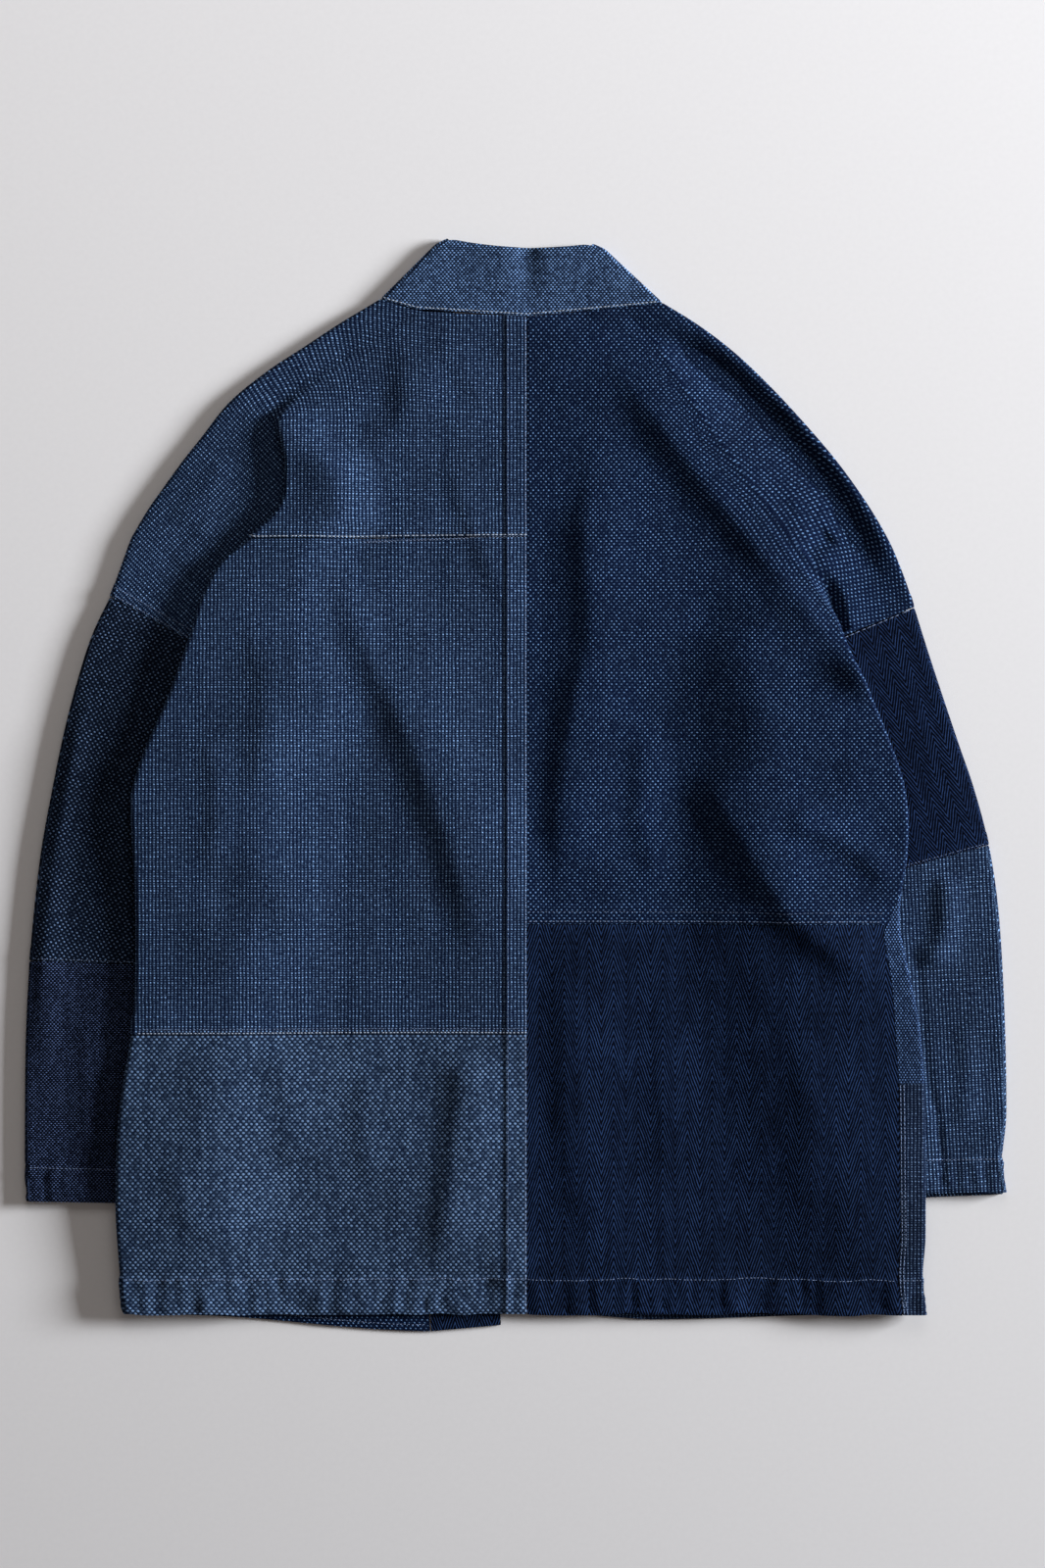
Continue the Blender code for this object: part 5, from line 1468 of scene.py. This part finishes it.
make_sleeve("sleeve_right_upper", SLEEVE_HERRINGBONE, "right", 0, RIGHT_PATCH_ROW, (0.36, 0.22))
make_sleeve("sleeve_right_lower", GRID, "right", RIGHT_PATCH_ROW, RIGHT_CUFF, (0.33, 0.27), cuff=True)

SIDE_MAIN = FINE_SIDE["main"] / sum(FINE_SIDE[key] for key in ("main", "turn", "run"))
SHOULDER_COLUMNS = PLEAT_END + FINE_SHOULDER["outer"] + FINE_SHOULDER["edge"]
BACK_MAIN = FINE_SIDE["main"] / SHOULDER_COLUMNS
SHOULDER_LIP = (FINE_SHOULDER["main"] + FINE_SHOULDER["turn"] * 0.8) / SHOULDER_COLUMNS
SHOULDER_OUTER = 1 - (FINE_SHOULDER["outer"] + FINE_SHOULDER["edge"] - 1) / SHOULDER_COLUMNS
SHOULDER_EDGE = 1 - (FINE_SHOULDER["edge"] - 3) / SHOULDER_COLUMNS
SLEEVE_RING = SLEEVE_COUNTS["top"] + 2 * SLEEVE_COUNTS["turn"] + SLEEVE_COUNTS["under"]
SLEEVE_TOP = (SLEEVE_COUNTS["top"] - 1) / SLEEVE_RING
HEM_STITCH = HEM_DEPTH - 1.0

sew("stitches_centre", [
    running(node, "first_column", distance, seed, pitch=2.9, radius=radius)
    for node, seed in (("yoke_left", 1), ("back_left", 2), ("hem_left", 3))
    for distance, radius in ((1.0, 0.36), (FELL_WIDTH - 1.4, 0.16))
])
sew("stitches_neck", [
    running("collar", "first_row", 1.5, 31, 0.09, 0.91, length=2.8, pitch=3.2, radius=0.4),
], PALE_THREAD)
sew("stitches_cross_pale", [
    running("yoke_left", "last_row", 1.3, 4, last=SHOULDER_LIP, length=3.0, pitch=3.2, radius=0.4),
    running("back_left", "last_row", 1.2, 5, last=SIDE_MAIN, length=2.2, pitch=2.8, radius=0.4),
], PALE_THREAD)
sew("stitches_cross", [
    running("back_left", "last_row", 4.2, 15, last=SIDE_MAIN, length=1.6),
    running("back_right", "last_row", 2.2, 6, last=BACK_MAIN, length=1.9, radius=0.28),
    running("back_right", "last_row", 9.5, 16, last=BACK_MAIN, length=1.6, radius=0.16),
])
sew("stitches_side", [
    running(node, "first_column", distance, seed, pitch=2.9, radius=0.3)
    for node, seed in (("front_right", 41), ("front_right_hem", 42))
    for distance in (0.9, 3.6)
])
sew("stitches_hems", [
    running("hem_left", "last_row", HEM_STITCH, 7, last=SIDE_MAIN, radius=0.3),
    running("hem_right", "last_row", HEM_STITCH, 8),
    running("front_right_hem", "last_row", HEM_STITCH, 9, last=0.3),
    running("front_left", "last_row", 5.0, 10, first=0.1),
])
sew("stitches_armholes", [
    running("yoke_left", "last_row", distance, seed, SHOULDER_OUTER, SHOULDER_EDGE, 2.3, 3.1, radius)
    for distance, seed, radius in ((2.0, 11, 0.26), (8.0, 12, 0.22))
] + [
    running("sleeve_right_upper", "first_row", 0.5, 13, last=SLEEVE_TOP, length=4.4, pitch=4.7, radius=0.36),
])
sew("stitches_sleeves", [
    running(node, "last_row", distance, seed, last=SLEEVE_TOP, length=length, radius=radius)
    for node, distance, seed, length, radius in (
        ("sleeve_left_lower", CUFF_DEPTH - 1.0, 21, 2.0, 0.26),
        ("sleeve_right_lower", CUFF_DEPTH - 1.0, 22, 2.0, 0.26),
        ("sleeve_left_upper", 1.6, 23, 1.8, 0.22),
        ("sleeve_right_upper", 1.6, 24, 1.8, 0.22),
    )
])

# Surface, light and camera

FLOOR_PAINTED_FALLOFF_X = -0.11   # painted light falloff: how much darker the surface is painted, per metre
FLOOR_PAINTED_FALLOFF_Y = 0.12
FLOOR_HALF = 4.0
FLOOR_Z = -0.0004

floor_mesh = bpy.data.meshes.new("floor")
corners = [(x * FLOOR_HALF, y * FLOOR_HALF, FLOOR_Z) for x, y in ((-1, -1), (1, -1), (1, 1), (-1, 1))]
floor_mesh.from_pydata(corners, [], [(0, 1, 2, 3)])
paper = bpy.data.materials.new("pale_surface")
n = Nodes(paper)
grain = n.noise(n.add("ShaderNodeNewGeometry").outputs["Position"], 260, 3)
tone = n.mix(grain, (0.80, 0.80, 0.825), (0.84, 0.84, 0.865))
sides = n.add("ShaderNodeSeparateXYZ")
n.join(n.add("ShaderNodeNewGeometry").outputs["Position"], sides.inputs[0])
# Painted light falloff: the surface's colour is painted darker towards the lower left, in place of the
# window's light falling off.
fade = n.math("MULTIPLY_ADD", sides.outputs["X"], FLOOR_PAINTED_FALLOFF_X, 1.0)
fade = n.math("MULTIPLY_ADD", sides.outputs["Y"], FLOOR_PAINTED_FALLOFF_Y, fade)
dim = n.add("ShaderNodeVectorMath", operation="SCALE")
n.join(tone, dim.inputs[0])
n.join(n.math("MINIMUM", n.math("MAXIMUM", fade, 0.6), 1.12), dim.inputs["Scale"])
n.join(dim.outputs["Vector"], n.shader.inputs["Base Color"])
n.shader.inputs["Roughness"].default_value = 0.85
linked("floor", floor_mesh, paper)


def area_light(name, place, target, size, power, colour):
    data = bpy.data.lights.new(name, "AREA")
    data.shape = "RECTANGLE"
    data.size, data.size_y = size
    data.energy = power
    data.color = colour
    made = bpy.data.objects.new(name, data)
    made.location = place
    made.rotation_euler = (Vector(place) - Vector(target)).to_track_quat("Z", "Y").to_euler()
    bpy.context.scene.collection.objects.link(made)


area_light("window", (5.0, 0.9, 1.42), (0, 0, 0), (1.7, 1.2), 655, (0.97, 0.985, 1.0))
area_light("bounce", (0.2, 1.8, 1.6), (0, 0, 0), (1.5, 1.2), 9, (1.0, 0.97, 0.93))
world = bpy.data.worlds.new("room")
world.use_nodes = True
world.node_tree.nodes["Background"].inputs[0].default_value = (1.0, 0.88, 0.80, 1)
world.node_tree.nodes["Background"].inputs[1].default_value = 0.13
bpy.context.scene.world = world

camera_data = bpy.data.cameras.new("overhead")
camera_data.lens = 85
camera_data.sensor_width = 36
camera = bpy.data.objects.new("overhead", camera_data)
camera.location = (0.00525, -0.0004, 1.2 * 85 / 36)
bpy.context.scene.collection.objects.link(camera)
bpy.context.scene.camera = camera
bpy.context.scene.view_settings.view_transform = "Standard"
